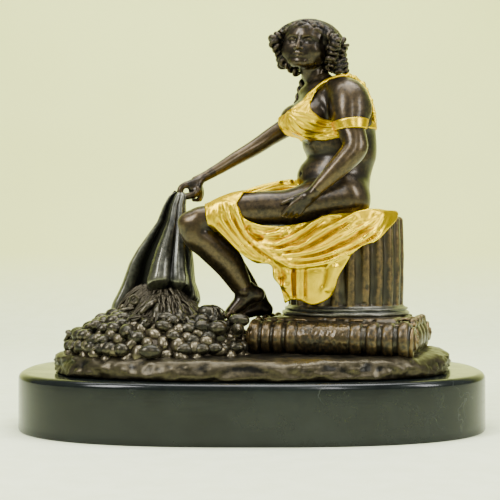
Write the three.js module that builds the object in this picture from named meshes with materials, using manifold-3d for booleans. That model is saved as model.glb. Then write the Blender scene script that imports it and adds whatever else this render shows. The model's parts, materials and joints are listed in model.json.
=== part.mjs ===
// A bronze statuette on an oval marble plinth: a woman in a gilded skirt and bodice sits on a fluted
// column drum, which stands on a fallen Ionic capital. With one hand she lifts the corner of a veil
// off a heap of pods, beads and shells. The bronze is one casting. The plinth is a separate slab.
// Millimetres, +Z up, origin at the centre of the plinth's underside, -Y is the side she is seen from.
import * as THREE from "three";
import { mergeVertices } from "three/addons/utils/BufferGeometryUtils.js";
import Module from "manifold-3d";

const wasm = await Module();
wasm.setup();

// Driving dimensions: the plinth and the ground
const groundLength = 254;
const groundDepth = 176;
const groundHeight = 12.7;
const groundRoll = 3.5; // how far the ground's rounded rim stands out over its foot
const groundRipple = 1.6;
const endMargin = 25.5; // from the ground's rim to the plinth's, at the two ends
const sideMargin = 6.5; // the same, at front and back
const ovalPower = 2.6; // 2 is an ellipse, more is squarer
const plinthHeight = 37;
const plinthEdge = 4; // radius of the plinth's polished top edge
const seatGap = 0.3; // between the marble and the bronze that rests on it

// Driving dimensions: the capital and the column drum
const capitalTurn = THREE.MathUtils.degToRad(-15);
const capitalX = 59.5;
const capitalY = -8;
const bolsterLength = 104;
const bolsterRadius = 10.6;
const bolsterSpacing = 80;
const bolsterSink = 1; // how far what stands on the ground is let into it
const ringCount = 3; // at each end of a bolster
const ringPitch = 14;
const ringRise = 1.5;
const abacusHeight = 3;
const columnX = 63;
const columnY = 3;
const columnRadius = 38.3;
const columnHeight = 60;
const columnBulge = 0.7; // entasis
const fluteCount = 20;
const fluteDepth = 1.7;
const baseRadius = 41.4;
const baseHeight = 4.5;

// Driving dimensions: the figure, the veil and the heap
const sittingHeight = 133.5; // from the seat to the crown of the hair
const clothThickness = 2.6;
const foldDepth = 1.7;
const veilX = -65;
const veilY = 0;
const veilHalfWidth = 36;
const veilFoldCount = 7;
const heapX = -57;
const heapY = -9;
const heapLength = 112;
const heapDepth = 122;
const heapHeight = 20; // the level top on which her feet rest
const mountHeight = 41; // the steeper heap in the middle, under the veil
const mountRadius = 33;
const podLength = 11;
const podWidth = 8;

// Levels that follow
const groundFoot = plinthHeight + seatGap;
const groundTop = groundFoot + groundHeight;
const bolsterLevel = groundTop + bolsterRadius - bolsterSink;
const abacusFoot = bolsterLevel + bolsterRadius - 1.1;
const baseFoot = abacusFoot + abacusHeight;
const shaftFoot = baseFoot + baseHeight;
const seatLevel = shaftFoot + columnHeight;

// The figure was laid out for the sitting height and seat given here, and moves and scales with them.
const layoutSitting = 133.5;
const layoutSeat = new THREE.Vector3(63, 3, 137);
const unit = sittingHeight / layoutSitting;
const seat = new THREE.Vector3(columnX, columnY, seatLevel);
const place = (x, y, z) =>
  new THREE.Vector3(x, y, z).sub(layoutSeat).multiplyScalar(unit).add(seat);

// A repeatable number from 0 to 1 for each whole number.
function chance(n) {
  const s = Math.sin(n * 12.9898 + 4.1) * 43758.5453;
  return s - Math.floor(s);
}

// A closed skin through rings of points, with a fan over each end.
function skin(rings) {
  const count = rings[0].length;
  const position = rings.flat().flatMap((p) => [p.x, p.y, p.z]);
  const index = [];
  for (let i = 0; i < rings.length - 1; i++) {
    for (let j = 0; j < count; j++) {
      const a = i * count + j;
      const b = i * count + ((j + 1) % count);
      index.push(a, b, a + count, b, b + count, a + count);
    }
  }
  const ends = [
    [0, (a, b, c) => [b, a, c]],
    [rings.length - 1, (a, b, c) => [a, b, c]],
  ];
  for (const [ring, order] of ends) {
    const middle = rings[ring]
      .reduce((sum, p) => sum.add(p), new THREE.Vector3())
      .divideScalar(count);
    const tip = position.length / 3;
    position.push(middle.x, middle.y, middle.z);
    for (let j = 0; j < count; j++) {
      index.push(...order(ring * count + j, ring * count + ((j + 1) % count), tip));
    }
  }
  const geometry = new THREE.BufferGeometry();
  geometry.setAttribute("position", new THREE.Float32BufferAttribute(position, 3));
  geometry.setIndex(index);
  return geometry;
}

// A closed geometry as a solid that can be joined and cut, turned the right way out.
function solid(geometry) {
  const bare = new THREE.BufferGeometry();
  bare.setAttribute("position", geometry.getAttribute("position"));
  bare.setIndex(geometry.index);
  const merged = mergeVertices(bare, 1e-4);
  const p = merged.getAttribute("position");
  const corner = (i) => new THREE.Vector3().fromBufferAttribute(p, i);
  const triVerts = new Uint32Array(merged.index.array);
  let volume = 0;
  for (let i = 0; i < triVerts.length; i += 3) {
    const [a, b, c] = [0, 1, 2].map((k) => corner(triVerts[i + k]));
    volume += a.dot(b.cross(c));
  }
  if (volume < 0) {
    for (let i = 0; i < triVerts.length; i += 3) {
      [triVerts[i + 1], triVerts[i + 2]] = [triVerts[i + 2], triVerts[i + 1]];
    }
  }
  return new wasm.Manifold(
    new wasm.Mesh({ numProp: 3, vertProperties: p.array, triVerts }),
  );
}

function asGeometry(manifold) {
  const mesh = manifold.getMesh();
  const geometry = new THREE.BufferGeometry();
  geometry.setAttribute("position", new THREE.BufferAttribute(mesh.vertProperties, 3));
  geometry.setIndex(new THREE.BufferAttribute(mesh.triVerts, 1));
  geometry.computeVertexNormals();
  return geometry;
}

// One point of an oval outline: half sizes a and b, squarer as power grows.
function ovalPoint(turn, a, b, z, power = ovalPower) {
  const bend = (v) => Math.sign(v) * Math.abs(v) ** (2 / power);
  return new THREE.Vector3(a * bend(Math.cos(turn)), b * bend(Math.sin(turn)), z);
}

function ovalRing(count, a, b, z, ripple = () => 0) {
  return Array.from({ length: count }, (_, i) => {
    const turn = (i / count) * 2 * Math.PI;
    return ovalPoint(turn, a + ripple(turn), b + ripple(turn), z);
  });
}

// A limb: rows of [x, y, z, half width, half depth] along its line. The half width lies along side.
function limb(rows, side, sides = 10, dome = 0.5) {
  const at = rows.map(([x, y, z]) => place(x, y, z));
  const rings = [];
  const ringAt = (middle, along, wide, deep) => {
    const u = side.clone().addScaledVector(along, -side.dot(along)).normalize();
    const v = new THREE.Vector3().crossVectors(along, u);
    rings.push(
      Array.from({ length: sides }, (_, j) => {
        const turn = (j / sides) * 2 * Math.PI;
        return middle
          .clone()
          .addScaledVector(u, wide * unit * Math.cos(turn))
          .addScaledVector(v, deep * unit * Math.sin(turn));
      }),
    );
  };
  rows.forEach(([, , , wide, deep = wide], i) => {
    const before = at[Math.max(i - 1, 0)];
    const after = at[Math.min(i + 1, at.length - 1)];
    const along = after.clone().sub(before).normalize();
    const reach = Math.min(wide, deep) * unit * dome;
    if (i === 0) ringAt(at[0].clone().addScaledVector(along, -reach), along, wide * 0.6, deep * 0.6);
    ringAt(at[i], along, wide, deep);
    if (i === rows.length - 1) {
      ringAt(at[i].clone().addScaledVector(along, reach), along, wide * 0.6, deep * 0.6);
    }
  });
  return solid(skin(rings));
}

const across = new THREE.Vector3(0, 1, 0);
const upward = new THREE.Vector3(0, 0, 1);

// An ellipsoid of the figure, at a layout point, turned about the upright.
function lump(x, y, z, rx, ry = rx, rz = rx, turn = 0, fine = 8, tilt = 0) {
  const geometry = new THREE.SphereGeometry(1, fine, Math.max(4, Math.round(fine * 0.7)));
  geometry.rotateX(Math.PI / 2);
  geometry.scale(rx * unit, ry * unit, rz * unit);
  geometry.rotateY(THREE.MathUtils.degToRad(tilt));
  geometry.rotateZ(THREE.MathUtils.degToRad(turn));
  const p = place(x, y, z);
  geometry.translate(p.x, p.y, p.z);
  return solid(geometry);
}

// A thick sheet: surface(u, v) gives its middle, for u and v from 0 to 1.
function sheet(surface, stepsU, stepsV, thickness = clothThickness * unit) {
  const normalAt = (u, v) => {
    const e = 0.01;
    const du = surface(Math.min(u + e, 1), v).sub(surface(Math.max(u - e, 0), v));
    const dv = surface(u, Math.min(v + e, 1)).sub(surface(u, Math.max(v - e, 0)));
    return du.cross(dv).normalize();
  };
  const rings = [];
  for (let i = 0; i <= stepsU; i++) {
    const u = i / stepsU;
    const front = [];
    const back = [];
    for (let j = 0; j <= stepsV; j++) {
      const v = j / stepsV;
      const middle = surface(u, v);
      const out = normalAt(u, v).multiplyScalar(thickness / 2);
      front.push(middle.clone().add(out));
      back.unshift(middle.clone().sub(out));
    }
    rings.push([...front, ...back]);
  }
  return solid(skin(rings));
}

// A smooth line through layout points, for t from 0 to 1.
function line(...points) {
  const curve = new THREE.CatmullRomCurve3(points.map((p) => place(...p)), false, "centripetal");
  return (t) => curve.getPoint(Math.min(Math.max(t, 0), 1));
}

function plinth() {
  const a = groundLength / 2 + endMargin;
  const b = groundDepth / 2 + sideMargin;
  const rings = [ovalRing(48, a, b, 0)];
  const steps = 2;
  for (let i = 0; i <= steps; i++) {
    const turn = ((i / steps) * Math.PI) / 2;
    const inset = plinthEdge * (1 - Math.cos(turn));
    const level = plinthHeight - plinthEdge * (1 - Math.sin(turn));
    rings.push(ovalRing(48, a - inset, b - inset, level));
  }
  return skin(rings);
}

function ground() {
  const ripple = (turn) =>
    groundRipple * (0.5 * Math.sin(7 * turn + 1) + 0.35 * Math.sin(12 * turn) + 0.3 * Math.sin(17 * turn + 2));
  const rings = [
    [0, groundRoll],
    [0.5, 0],
    [0.85, groundRoll * 0.4],
    [1, groundRoll * 1.7],
  ].map(([rise, inset]) =>
    ovalRing(
      38,
      groundLength / 2 - inset,
      groundDepth / 2 - inset,
      groundFoot + rise * groundHeight,
      ripple,
    ),
  );
  return solid(skin(rings));
}

// The capital: two bolsters with rings and a volute at each end, a block between them and an abacus.
function capital() {
  const parts = [];
  const half = bolsterLength / 2;
  const waist = bolsterRadius - 0.9;
  for (const row of [-1, 1]) {
    const profile = [new THREE.Vector2(0, -half), new THREE.Vector2(bolsterRadius - 1.4, -half)];
    for (const end of [-1, 1]) {
      for (let i = 0; i < ringCount; i++) {
        const step = end < 0 ? i : ringCount - 1 - i;
        const middle = end * (half - ringPitch * (step + 0.5));
        const swell = ringRise * (1 - (0.5 * step) / ringCount);
        for (const [shift, rise] of [
          [-0.5, 0],
          [-0.2, 1],
          [0.2, 1],
        ]) {
          profile.push(new THREE.Vector2(waist + rise * swell, middle + shift * ringPitch));
        }
      }
    }
    profile.push(new THREE.Vector2(bolsterRadius - 1.4, half), new THREE.Vector2(0, half));
    const roll = new THREE.LatheGeometry(profile, 8);
    roll.rotateZ(-Math.PI / 2);
    roll.translate(0, (row * bolsterSpacing) / 2, bolsterLevel);
    parts.push(solid(roll));
  }
  const span = bolsterSpacing + bolsterRadius;
  const height = baseFoot - groundTop + bolsterSink;
  const block = new THREE.BoxGeometry(bolsterLength - 4, bolsterSpacing, height - abacusHeight);
  block.translate(0, 0, baseFoot - abacusHeight - (height - abacusHeight) / 2 + 0.4);
  const abacus = new THREE.BoxGeometry(bolsterLength - 7, span, abacusHeight);
  abacus.translate(0, 0, abacusFoot + abacusHeight / 2);
  parts.push(solid(block), solid(abacus));
  // Egg mouldings between the volutes, on both end faces
  for (const end of [-1, 1]) {
    for (const i of [-1, 0, 1]) {
      const egg = new THREE.SphereGeometry(1, 6, 4);
      egg.scale(4.5, 8.5, 8);
      egg.translate((end * (bolsterLength - 4)) / 2, i * 19, bolsterLevel + 0.5);
      parts.push(solid(egg));
    }
  }
  return wasm.Manifold.union(parts)
    .rotate([0, 0, THREE.MathUtils.radToDeg(capitalTurn)])
    .translate([capitalX, capitalY, 0]);
}

function column() {
  const perFlute = 3;
  const count = fluteCount * perFlute;
  const shaftRing = (share) =>
    Array.from({ length: count }, (_, i) => {
      const turn = (i / count) * 2 * Math.PI;
      const hollow = i % perFlute === 0 ? 0 : 1;
      const r = columnRadius + columnBulge * Math.sin(share * Math.PI) - fluteDepth * hollow;
      return new THREE.Vector3(r * Math.cos(turn), r * Math.sin(turn), shaftFoot - 0.5 + share * (columnHeight + 0.5));
    });
  const shaft = solid(skin([0, 0.5, 1].map(shaftRing)));
  const profile = [
    [0, baseFoot - 0.5],
    [baseRadius, baseFoot - 0.5],
    [baseRadius, baseFoot + baseHeight * 0.55],
    [baseRadius - 2.2, shaftFoot],
    [0, shaftFoot],
  ].map(([r, z]) => new THREE.Vector2(r, z));
  const base = new THREE.LatheGeometry(profile, 24);
  base.rotateX(Math.PI / 2);
  return shaft.add(solid(base)).translate([columnX, columnY, 0]);
}

// Her torso faces left and a little towards the viewer. The half width lies along the shoulders.
function torso() {
  const rows = [
    [57, 0, 141, 24, 19, 10],
    [56.5, 0, 150, 26, 21, 12],
    [56, 0, 162, 24, 23.5, 14],
    [57, 0, 170, 22.5, 24.5, 16],
    [61, 0, 179.5, 20.5, 22.3, 19],
    [58, 0, 190, 23.5, 25, 21],
    [56, 0, 209, 27, 22.5, 22],
    [53, 0, 217, 25, 17, 22],
    [49, 0, 224, 16, 10.5, 22],
    [46.5, -1, 229, 9, 8.4, 22],
  ];
  const rings = rows.map(([x, y, z, wide, deep, turn]) => {
    const facing = THREE.MathUtils.degToRad(turn);
    const shoulders = new THREE.Vector3(Math.sin(facing), -Math.cos(facing), 0);
    const front = new THREE.Vector3(-Math.cos(facing), -Math.sin(facing), 0);
    return Array.from({ length: 14 }, (_, j) => {
      const t = (j / 14) * 2 * Math.PI;
      return place(x, y, z)
        .addScaledVector(shoulders, wide * unit * Math.cos(t))
        .addScaledVector(front, deep * unit * Math.sin(t));
    });
  });
  return solid(skin(rings));
}

function leftArm() {
  return [
    limb(
      [
        [57, -23, 217, 10.5],
        [59.5, -27, 209, 12],
        [62.5, -31, 198, 11.2],
        [65, -35, 189, 9.3],
        [66.5, -38, 181, 7.8],
        [60, -40, 173.5, 7.7],
        [52, -41, 166, 6.7],
        [44, -41, 157.5, 5],
        [38, -40, 151.5, 3.9, 3.6],
        [31, -39, 146.5, 5.4, 3.2],
        [26.5, -38.5, 143.6, 5, 2.7],
      ],
      upward,
      7,
    ),
    // Four fingers that lie on the thigh, and the thumb
    ...[0, 1, 2, 3].map((i) =>
      limb(
        [
          [27.5 + i * 1.2, -38, 146.2 - i * 2.1, 1.5],
          [22.2 + i * 1.3, -38, 143.2 - i * 2.4, 1.5],
          [18.6 + i * 1.9, -36.6, 140.6 - i * 2.3, 1.2],
        ],
        upward,
        4,
      ),
    ),
    limb([[31, -38.5, 149, 1.9], [25, -39, 147.6, 1.7], [20.5, -38, 146, 1.4]], upward, 4),
  ];
}

function rightArm() {
  return [
    limb(
      [
        [42, 21, 216, 9],
        [29, 25, 206, 7.2],
        [16, 24, 196, 6.1],
        [4, 22, 187.5, 5.4],
        [-9, 18, 179.3, 5],
        [-20, 13, 172, 4],
        [-31, 9, 164, 3.1, 2.8],
        [-38.5, 6, 161, 4, 2.2],
        [-42.5, 4.5, 158, 3.6, 2],
      ],
      across,
      7,
    ),
    // Finger and thumb pinch the veil, the other fingers curl under the palm
    limb([[-42, 3.5, 159.5, 1.6], [-46.5, 2.5, 157.5, 1.4], [-48.5, 3, 153, 1.3]], across, 4),
    limb([[-35.5, 3, 159, 1.7], [-39.5, 2, 153.5, 1.5], [-46, 3, 152, 1.3]], across, 4),
    ...[0, 1, 2].map((i) =>
      limb(
        [
          [-38.5 + i * 1.7, 5 + i * 1.4, 160.5, 1.6],
          [-38 + i * 2, 4 + i * 1.6, 153.4 - i * 1.2, 1.4],
          [-40.5 + i * 2.2, 3.4 + i * 1.6, 150.6 - i * 1.2, 1.2],
        ],
        across,
        4,
      ),
    ),
  ];
}

function legs() {
  const foot = (x, y, z) => [
    limb(
      [
        [x + 2, y, z + 10, 4.6],
        [x - 4, y - 1.5, z + 5, 4.9, 4.4],
        [x - 14, y - 3.5, z - 5.5, 5.2, 3],
        [x - 21, y - 5.5, z - 11, 4, 1.6],
      ],
      across,
      7,
    ),
    lump(x + 5.5, y + 0.5, z + 8, 4.6, 4.4, 5.2, 0, 6),
  ];
  return [
    limb(
      [
        [58, -15, 151, 17],
        [42, -19.5, 146, 14.2],
        [25, -22, 143.6, 12.2],
        [5, -23, 143.2, 11],
        [-15, -24, 141.6, 10],
        [-28, -24, 138, 9.2],
        [-38.5, -24, 131, 8.6],
        [-34, -23.5, 123, 9],
        [-26, -22.5, 114.5, 9.4],
        [-17, -21, 105.5, 8.8],
        [-9, -19, 96.5, 6.6],
        [-4, -17.5, 88.5, 5],
      ],
      across,
      10,
    ),
    ...foot(-2, -17, 79),
    limb(
      [
        [-16, 14, 143, 10],
        [-31, 13, 134, 9],
        [-24, 11, 118, 8.6],
        [-12, 8, 102, 6.6],
        [-2, 6, 88, 4.8],
        [5.5, 5.4, 84, 4.7],
      ],
      across,
      8,
    ),
    ...foot(7, 5, 74),
  ];
}

// The head looks out over the left shoulder. Plain, regular features; x runs to her left cheek.
const headCentre = [36, -6, 253];
const headTurn = THREE.MathUtils.degToRad(-24);
const headTilt = THREE.MathUtils.degToRad(8);
function onHead(right, out, up) {
  const v = new THREE.Vector3(right, -out, up);
  v.applyAxisAngle(new THREE.Vector3(0, 1, 0), headTilt);
  v.applyAxisAngle(upward, headTurn);
  return [headCentre[0] + v.x, headCentre[1] + v.y, headCentre[2] + v.z];
}

function head() {
  const turn = THREE.MathUtils.radToDeg(headTurn);
  const feature = (right, out, up, rx, ry, rz, fine = 6) =>
    lump(...onHead(right, out, up), rx, ry, rz, turn, fine);
  return [
    feature(0, -1, 2.5, 12, 13.6, 13.5, 9),
    feature(0, 5.2, -5.5, 9.2, 7.6, 11, 9),
    feature(0, 9.8, -13.6, 4.4, 3.4, 3.2, 6),
    feature(0, 13.4, -3.2, 1.7, 2.6, 4.2, 5),
    feature(0, 12.4, -9.2, 3.2, 1.9, 1.6, 5),
    limb([[48, 0, 222, 10], [45, -1.5, 230, 8], [41.5, -3, 238, 7.4], [38.5, -4, 246, 7.4]], across, 9),
  ];
}

// A cap of hair, a roll of curls over the brow, and bunches of curls at both sides of the neck
function hair() {
  const turn = THREE.MathUtils.radToDeg(headTurn);
  const roll = Array.from({ length: 9 }, (_, i) => {
    const a = ((i - 4) / 4) * 1.35;
    const swell = i % 2 ? 3.3 : 4.3;
    return [
      ...onHead(13.4 * Math.sin(a), 7.4 * Math.cos(a), 2 + 12.2 * Math.cos(a * 0.95)),
      swell,
      swell,
    ];
  });
  const bunch = (side, back, start, rows) =>
    limb(
      Array.from({ length: rows }, (_, i) => [
        ...onHead(side * (13.6 + 1.5 * Math.sin(i * 1.9 + back)), back, start - i * 5),
        i % 2 ? 5.8 : 4.5,
      ]),
      across,
      5,
      0.7,
    );
  return [
    lump(...onHead(0.4, -4, 5), 14.2, 13.6, 13.4, turn, 10),
    limb(roll, across, 5),
    bunch(-1, 1, 4, 6),
    bunch(-1, -7, 4, 5),
    bunch(1, 1.5, 4, 6),
    bunch(1, -7, 3, 6),
    lump(52, 7, 236, 9, 7, 8, 0, 6),
    // A long lock that falls in front of the far shoulder
    limb([[36, 0, 233, 3.4], [34.6, 2, 226, 4], [33.8, 3.6, 219, 3.2], [33, 5, 213, 2.6]], across, 6),
  ];
}

// The gilded bodice: cups, a band under them, the strap round the shoulder and the band on the arm
function bodice() {
  const shoulderStrap = line(
    [30, -20, 208],
    [40, -19, 218],
    [50, -15, 227],
    [61, -12, 230.5],
    [71, -11, 224],
    [77.5, -14, 213],
    [80, -20, 204],
    [76, -28, 197],
  );
  const strapRows = Array.from({ length: 11 }, (_, i) => shoulderStrap(i / 10));
  const strapRings = strapRows.map((p, i) => {
    const along = strapRows[Math.min(i + 1, 10)].clone().sub(strapRows[Math.max(i - 1, 0)]).normalize();
    const u = new THREE.Vector3().crossVectors(along, across).normalize();
    const v = new THREE.Vector3().crossVectors(along, u);
    return Array.from({ length: 6 }, (_, j) => {
      const t = (j / 6) * 2 * Math.PI;
      return p
        .clone()
        .addScaledVector(u, 1.6 * unit * Math.cos(t))
        .addScaledVector(v, 3 * unit * Math.sin(t));
    });
  });
  return [
    lump(33.5, -16.5, 201.5, 11.2, 10.6, 10.4, 20, 9),
    lump(27, 2, 202.5, 9.2, 9.6, 9.6, 20, 7),
    limb([[57, 0, 193, 25.6, 26.8], [56, 0, 200, 27.4, 27], [55.5, 0, 205, 27.6, 25]], across, 12, 0),
    limb([[61.5, -30, 200.5, 12.6], [63.4, -32, 194.8, 12.2]], across, 10, 0),
    solid(skin(strapRings)),
  ];
}

// The gilded skirt: it wraps the far thigh and the near knee, hangs in a swag between knee and drum,
// drops in a tail in front of the drum, and covers the seat.
function skirt() {
  const swagTop = line(
    [-27, -34, 141],
    [-6, -36.5, 138],
    [15, -36, 132.5],
    [32, -38, 133.5],
    [48, -39.5, 138],
    [66, -40.5, 141],
    [83, -34, 140],
    [97.5, -17, 138.5],
  );
  const swagFoot = line(
    [-28.5, -32, 131],
    [-18, -35, 123],
    [-3, -38, 110],
    [12, -41.5, 105],
    [30, -45, 103.5],
    [52, -45.5, 105],
    [70, -42, 114],
    [86, -31, 123.5],
    [97.5, -17.5, 136.5],
  );
  const swag = (u, v) => {
    const p = swagTop(u).lerp(swagFoot(u), v);
    const belly = Math.sin(v * Math.PI) * Math.sin(u * Math.PI) ** 0.6;
    const fold = Math.sin(v * 2.6 * 2 * Math.PI + u * 2.2) * Math.sin(u * Math.PI) ** 0.4;
    p.y -= (3.2 * belly + foldDepth * fold) * unit;
    p.z -= 1.5 * belly * unit;
    return p;
  };
  const tailTop = line([11, -37, 108], [24, -40, 109], [42, -42, 109], [58, -42, 110]);
  const tailFoot = line([21, -38, 82], [27, -41.5, 83], [37, -44.5, 80], [45, -44, 82.5], [52, -43, 90]);
  const tail = (u, v) => {
    const p = tailTop(u).lerp(tailFoot(u), v);
    p.y -= foldDepth * unit * Math.sin(u * 3.5 * 2 * Math.PI) * (0.4 + 0.6 * v);
    return p;
  };
  const farTop = line([-26, 20, 150], [10, 26, 154], [45, 32, 150], [72, 34, 141], [90, 26, 139]);
  const farFoot = line([-28, 22, 134], [-4, 29, 118], [30, 42, 106], [60, 46.5, 108], [87, 34, 126]);
  const farSide = (u, v) => {
    const p = farTop(u).lerp(farFoot(u), v);
    p.y += (4 * Math.sin(v * Math.PI) + foldDepth * Math.sin(u * 3 * 2 * Math.PI) * v) * unit;
    return p;
  };
  const pad = new THREE.CylinderGeometry(39.5 * unit, 38.6 * unit, 4.5 * unit, 20);
  pad.rotateX(Math.PI / 2);
  pad.translate(seat.x, seat.y, seat.z + 1.6 * unit);
  return [
    sheet(swag, 9, 8),
    sheet(tail, 11, 1),
    sheet(farSide, 8, 2),
    solid(pad),
    limb(
      [
        [-29, -23.6, 138.2, 11, 11.2],
        [-17, -23.8, 141.5, 12.5, 12.6],
        [-4, -23.2, 142.6, 12.4, 12.4],
      ],
      across,
      8,
      0.1,
    ),
    limb(
      [
        [48, 14, 150, 18.5, 18],
        [22, 15, 148, 17, 16.6],
        [-6, 13.5, 145.5, 15, 13.6],
        [-24, 13, 141, 12.6, 11.8],
        [-31, 13, 135, 10.6],
      ],
      across,
      8,
      0.1,
    ),
    limb([[-20, -9, 145, 10, 5], [6, -6, 147, 13, 7], [34, -4, 150, 13, 8]], across, 6),
  ];
}

// The veil hangs from her hand and spreads over the heap, with its hem lifted at the front.
function veil() {
  const tip = place(-48.2, 3, 155.5);
  const count = 21;
  const foot = new THREE.Vector3(veilX, veilY, groundTop + 4);
  // share down from the hand, half width as a share of the foot's, and the middle's lead to the left
  const rows = [
    [0, 0.06, 0],
    [0.1, 0.2, 0.16],
    [0.24, 0.28, 0.26],
    [0.35, 0.36, 0.36],
    [0.46, 0.47, 0.5],
    [0.57, 0.6, 0.68],
    [0.68, 0.73, 0.8],
    [0.82, 0.86, 0.9],
    [1, 1, 1],
  ];
  const rings = rows.map(([down, width, lead], i) =>
    Array.from({ length: count }, (_, j) => {
      const turn = (j / count) * 2 * Math.PI;
      const fold = 1 + 0.17 * Math.min(1, down * 2.5) * Math.cos(veilFoldCount * turn + 0.9);
      const front = Math.max(0, -Math.sin(turn)) ** 2;
      const lift = i === rows.length - 1 ? front * 26 : i === rows.length - 2 ? front * 12 : 0;
      return new THREE.Vector3(
        THREE.MathUtils.lerp(tip.x, foot.x, lead) + veilHalfWidth * width * fold * Math.cos(turn),
        THREE.MathUtils.lerp(tip.y, foot.y, lead) + veilHalfWidth * 0.82 * width * fold * Math.sin(turn),
        THREE.MathUtils.lerp(tip.z, foot.z, down) + lift,
      );
    }),
  );
  return [solid(skin(rings))];
}

// The heap: a low flat heap that her feet rest on, a steeper one under the veil, and pods on the slope
function heap() {
  const heapRing = (inset, rise) =>
    ovalRing(20, heapLength / 2 - inset, heapDepth / 2 - inset, groundTop + rise * heapHeight, (turn) =>
      1.5 * Math.sin(5 * turn + 1),
    ).map((p) => p.add(new THREE.Vector3(heapX, heapY, 0)));
  const levels = [
    [1, -0.15],
    [0, 0.1],
    [7, 0.6],
    [17, 0.92],
    [30, 1],
  ];
  const mount = new THREE.SphereGeometry(1, 10, 6);
  mount.rotateX(Math.PI / 2);
  mount.scale(mountRadius, mountRadius * 0.9, mountHeight);
  mount.translate(veilX, veilY - 4, groundTop - 1);
  const parts = [solid(skin(levels.map(([inset, rise]) => heapRing(inset, rise)))), solid(mount)];
  // inset from the heap's rim, height as a share, and number of pods of each row
  const rows = [
    [1, 0.16, 13],
    [11, 0.72, 8],
  ];
  rows.forEach(([inset, rise, many], row) => {
    for (let i = 0; i < many; i++) {
      const k = row * 50 + i;
      const turn = Math.PI * (0.93 + (1.12 * (i + 0.5 * chance(k))) / many);
      const size = 0.95 + 0.3 * chance(k + 70);
      const spot = ovalPoint(turn, heapLength / 2 - inset, heapDepth / 2 - inset, groundTop + rise * heapHeight);
      const pod = new THREE.SphereGeometry(1, 5, 4);
      pod.rotateX(Math.PI / 2);
      pod.scale((podLength * size) / 2, (podWidth * size) / 2, (podWidth * size) / 2);
      pod.rotateZ(chance(k + 140) * 2.4 - 1.2);
      pod.translate(heapX + spot.x, heapY + spot.y, spot.z);
      parts.push(solid(pod));
    }
  });
  return parts;
}

const casting = wasm.Manifold.union([
  ground(),
  capital(),
  column(),
  torso(),
  ...leftArm(),
  ...rightArm(),
  ...legs(),
  ...head(),
  ...hair(),
  ...bodice(),
  ...skirt(),
  ...veil(),
  ...heap(),
]);
const above = new THREE.BoxGeometry(600, 600, 600);
above.translate(0, 0, groundFoot + 300);

const marble = new THREE.MeshStandardMaterial({ color: 0x1d2322, roughness: 0.12, metalness: 0 });
const bronze = new THREE.MeshStandardMaterial({ color: 0x3a2c1c, roughness: 0.35, metalness: 1 });

const plinthMesh = new THREE.Mesh(plinth(), marble);
plinthMesh.name = "marble_plinth";
const castingMesh = new THREE.Mesh(asGeometry(casting.intersect(solid(above))), bronze);
castingMesh.name = "bronze_casting";

const statuette = new THREE.Group();
statuette.add(plinthMesh, castingMesh);
export default statuette;
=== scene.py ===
import json
import math

import bpy
import numpy as np
import openvdb
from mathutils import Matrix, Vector, noise

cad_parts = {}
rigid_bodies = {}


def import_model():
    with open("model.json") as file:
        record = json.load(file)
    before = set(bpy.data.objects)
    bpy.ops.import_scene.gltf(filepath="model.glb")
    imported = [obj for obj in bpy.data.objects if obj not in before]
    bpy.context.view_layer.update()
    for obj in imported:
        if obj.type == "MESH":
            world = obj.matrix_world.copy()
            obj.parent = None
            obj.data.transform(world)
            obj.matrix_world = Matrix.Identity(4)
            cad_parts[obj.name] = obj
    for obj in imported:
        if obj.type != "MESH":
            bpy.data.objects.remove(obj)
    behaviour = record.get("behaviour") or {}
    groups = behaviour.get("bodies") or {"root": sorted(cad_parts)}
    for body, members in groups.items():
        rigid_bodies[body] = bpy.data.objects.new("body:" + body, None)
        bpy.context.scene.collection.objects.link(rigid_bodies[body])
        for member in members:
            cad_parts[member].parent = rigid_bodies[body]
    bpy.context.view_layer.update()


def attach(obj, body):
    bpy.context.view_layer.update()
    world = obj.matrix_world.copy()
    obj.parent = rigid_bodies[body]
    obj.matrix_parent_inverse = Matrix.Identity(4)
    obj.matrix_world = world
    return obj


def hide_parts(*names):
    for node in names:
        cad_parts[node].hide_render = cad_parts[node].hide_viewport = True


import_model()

# Levels, places and sizes shared by the pieces
MM = 0.001
FULL_TURN = 2 * math.pi
PLINTH_HALF = (152.5, 94.5)
PLINTH_TOP = 37.0
GROUND_HALF = (129.6, 87.4)
GROUND_FOOT = 37.3
GROUND_TOP = 50.0
OVAL_POWER = 2.6
COLUMN = (63.0, 3.0)
COLUMN_RADIUS = 38.3
SHAFT_FOOT = 77.6
SEAT = 137.6
CAPITAL = (59.5, -8.0)
CAPITAL_YAW = -15
BOLSTER_LEVEL = 59.6
BOLSTER_HALF = 50.6
BOLSTER_ASIDE = 40
HEAP = (-59.5, -9.0)
HEAP_SIZE = (121.0, 124.0, 20.0)
HEAP_POWER = 3.0
HEAP_REACH = (121, 79)
EMPTY = 6.0


# Modelling in clay: a block of distances on a grid, to which lumps and strands are joined or cut
def soft_min(a, b, k):
    """The lower of two distances, blended where they come within k of each other."""
    h = np.maximum(k - np.abs(a - b), 0.0)
    return np.minimum(a, b) - h * h * (0.25 / k)


def unit(v):
    v = np.asarray(v, float)
    return v / max(np.linalg.norm(v), 1e-9)


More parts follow.
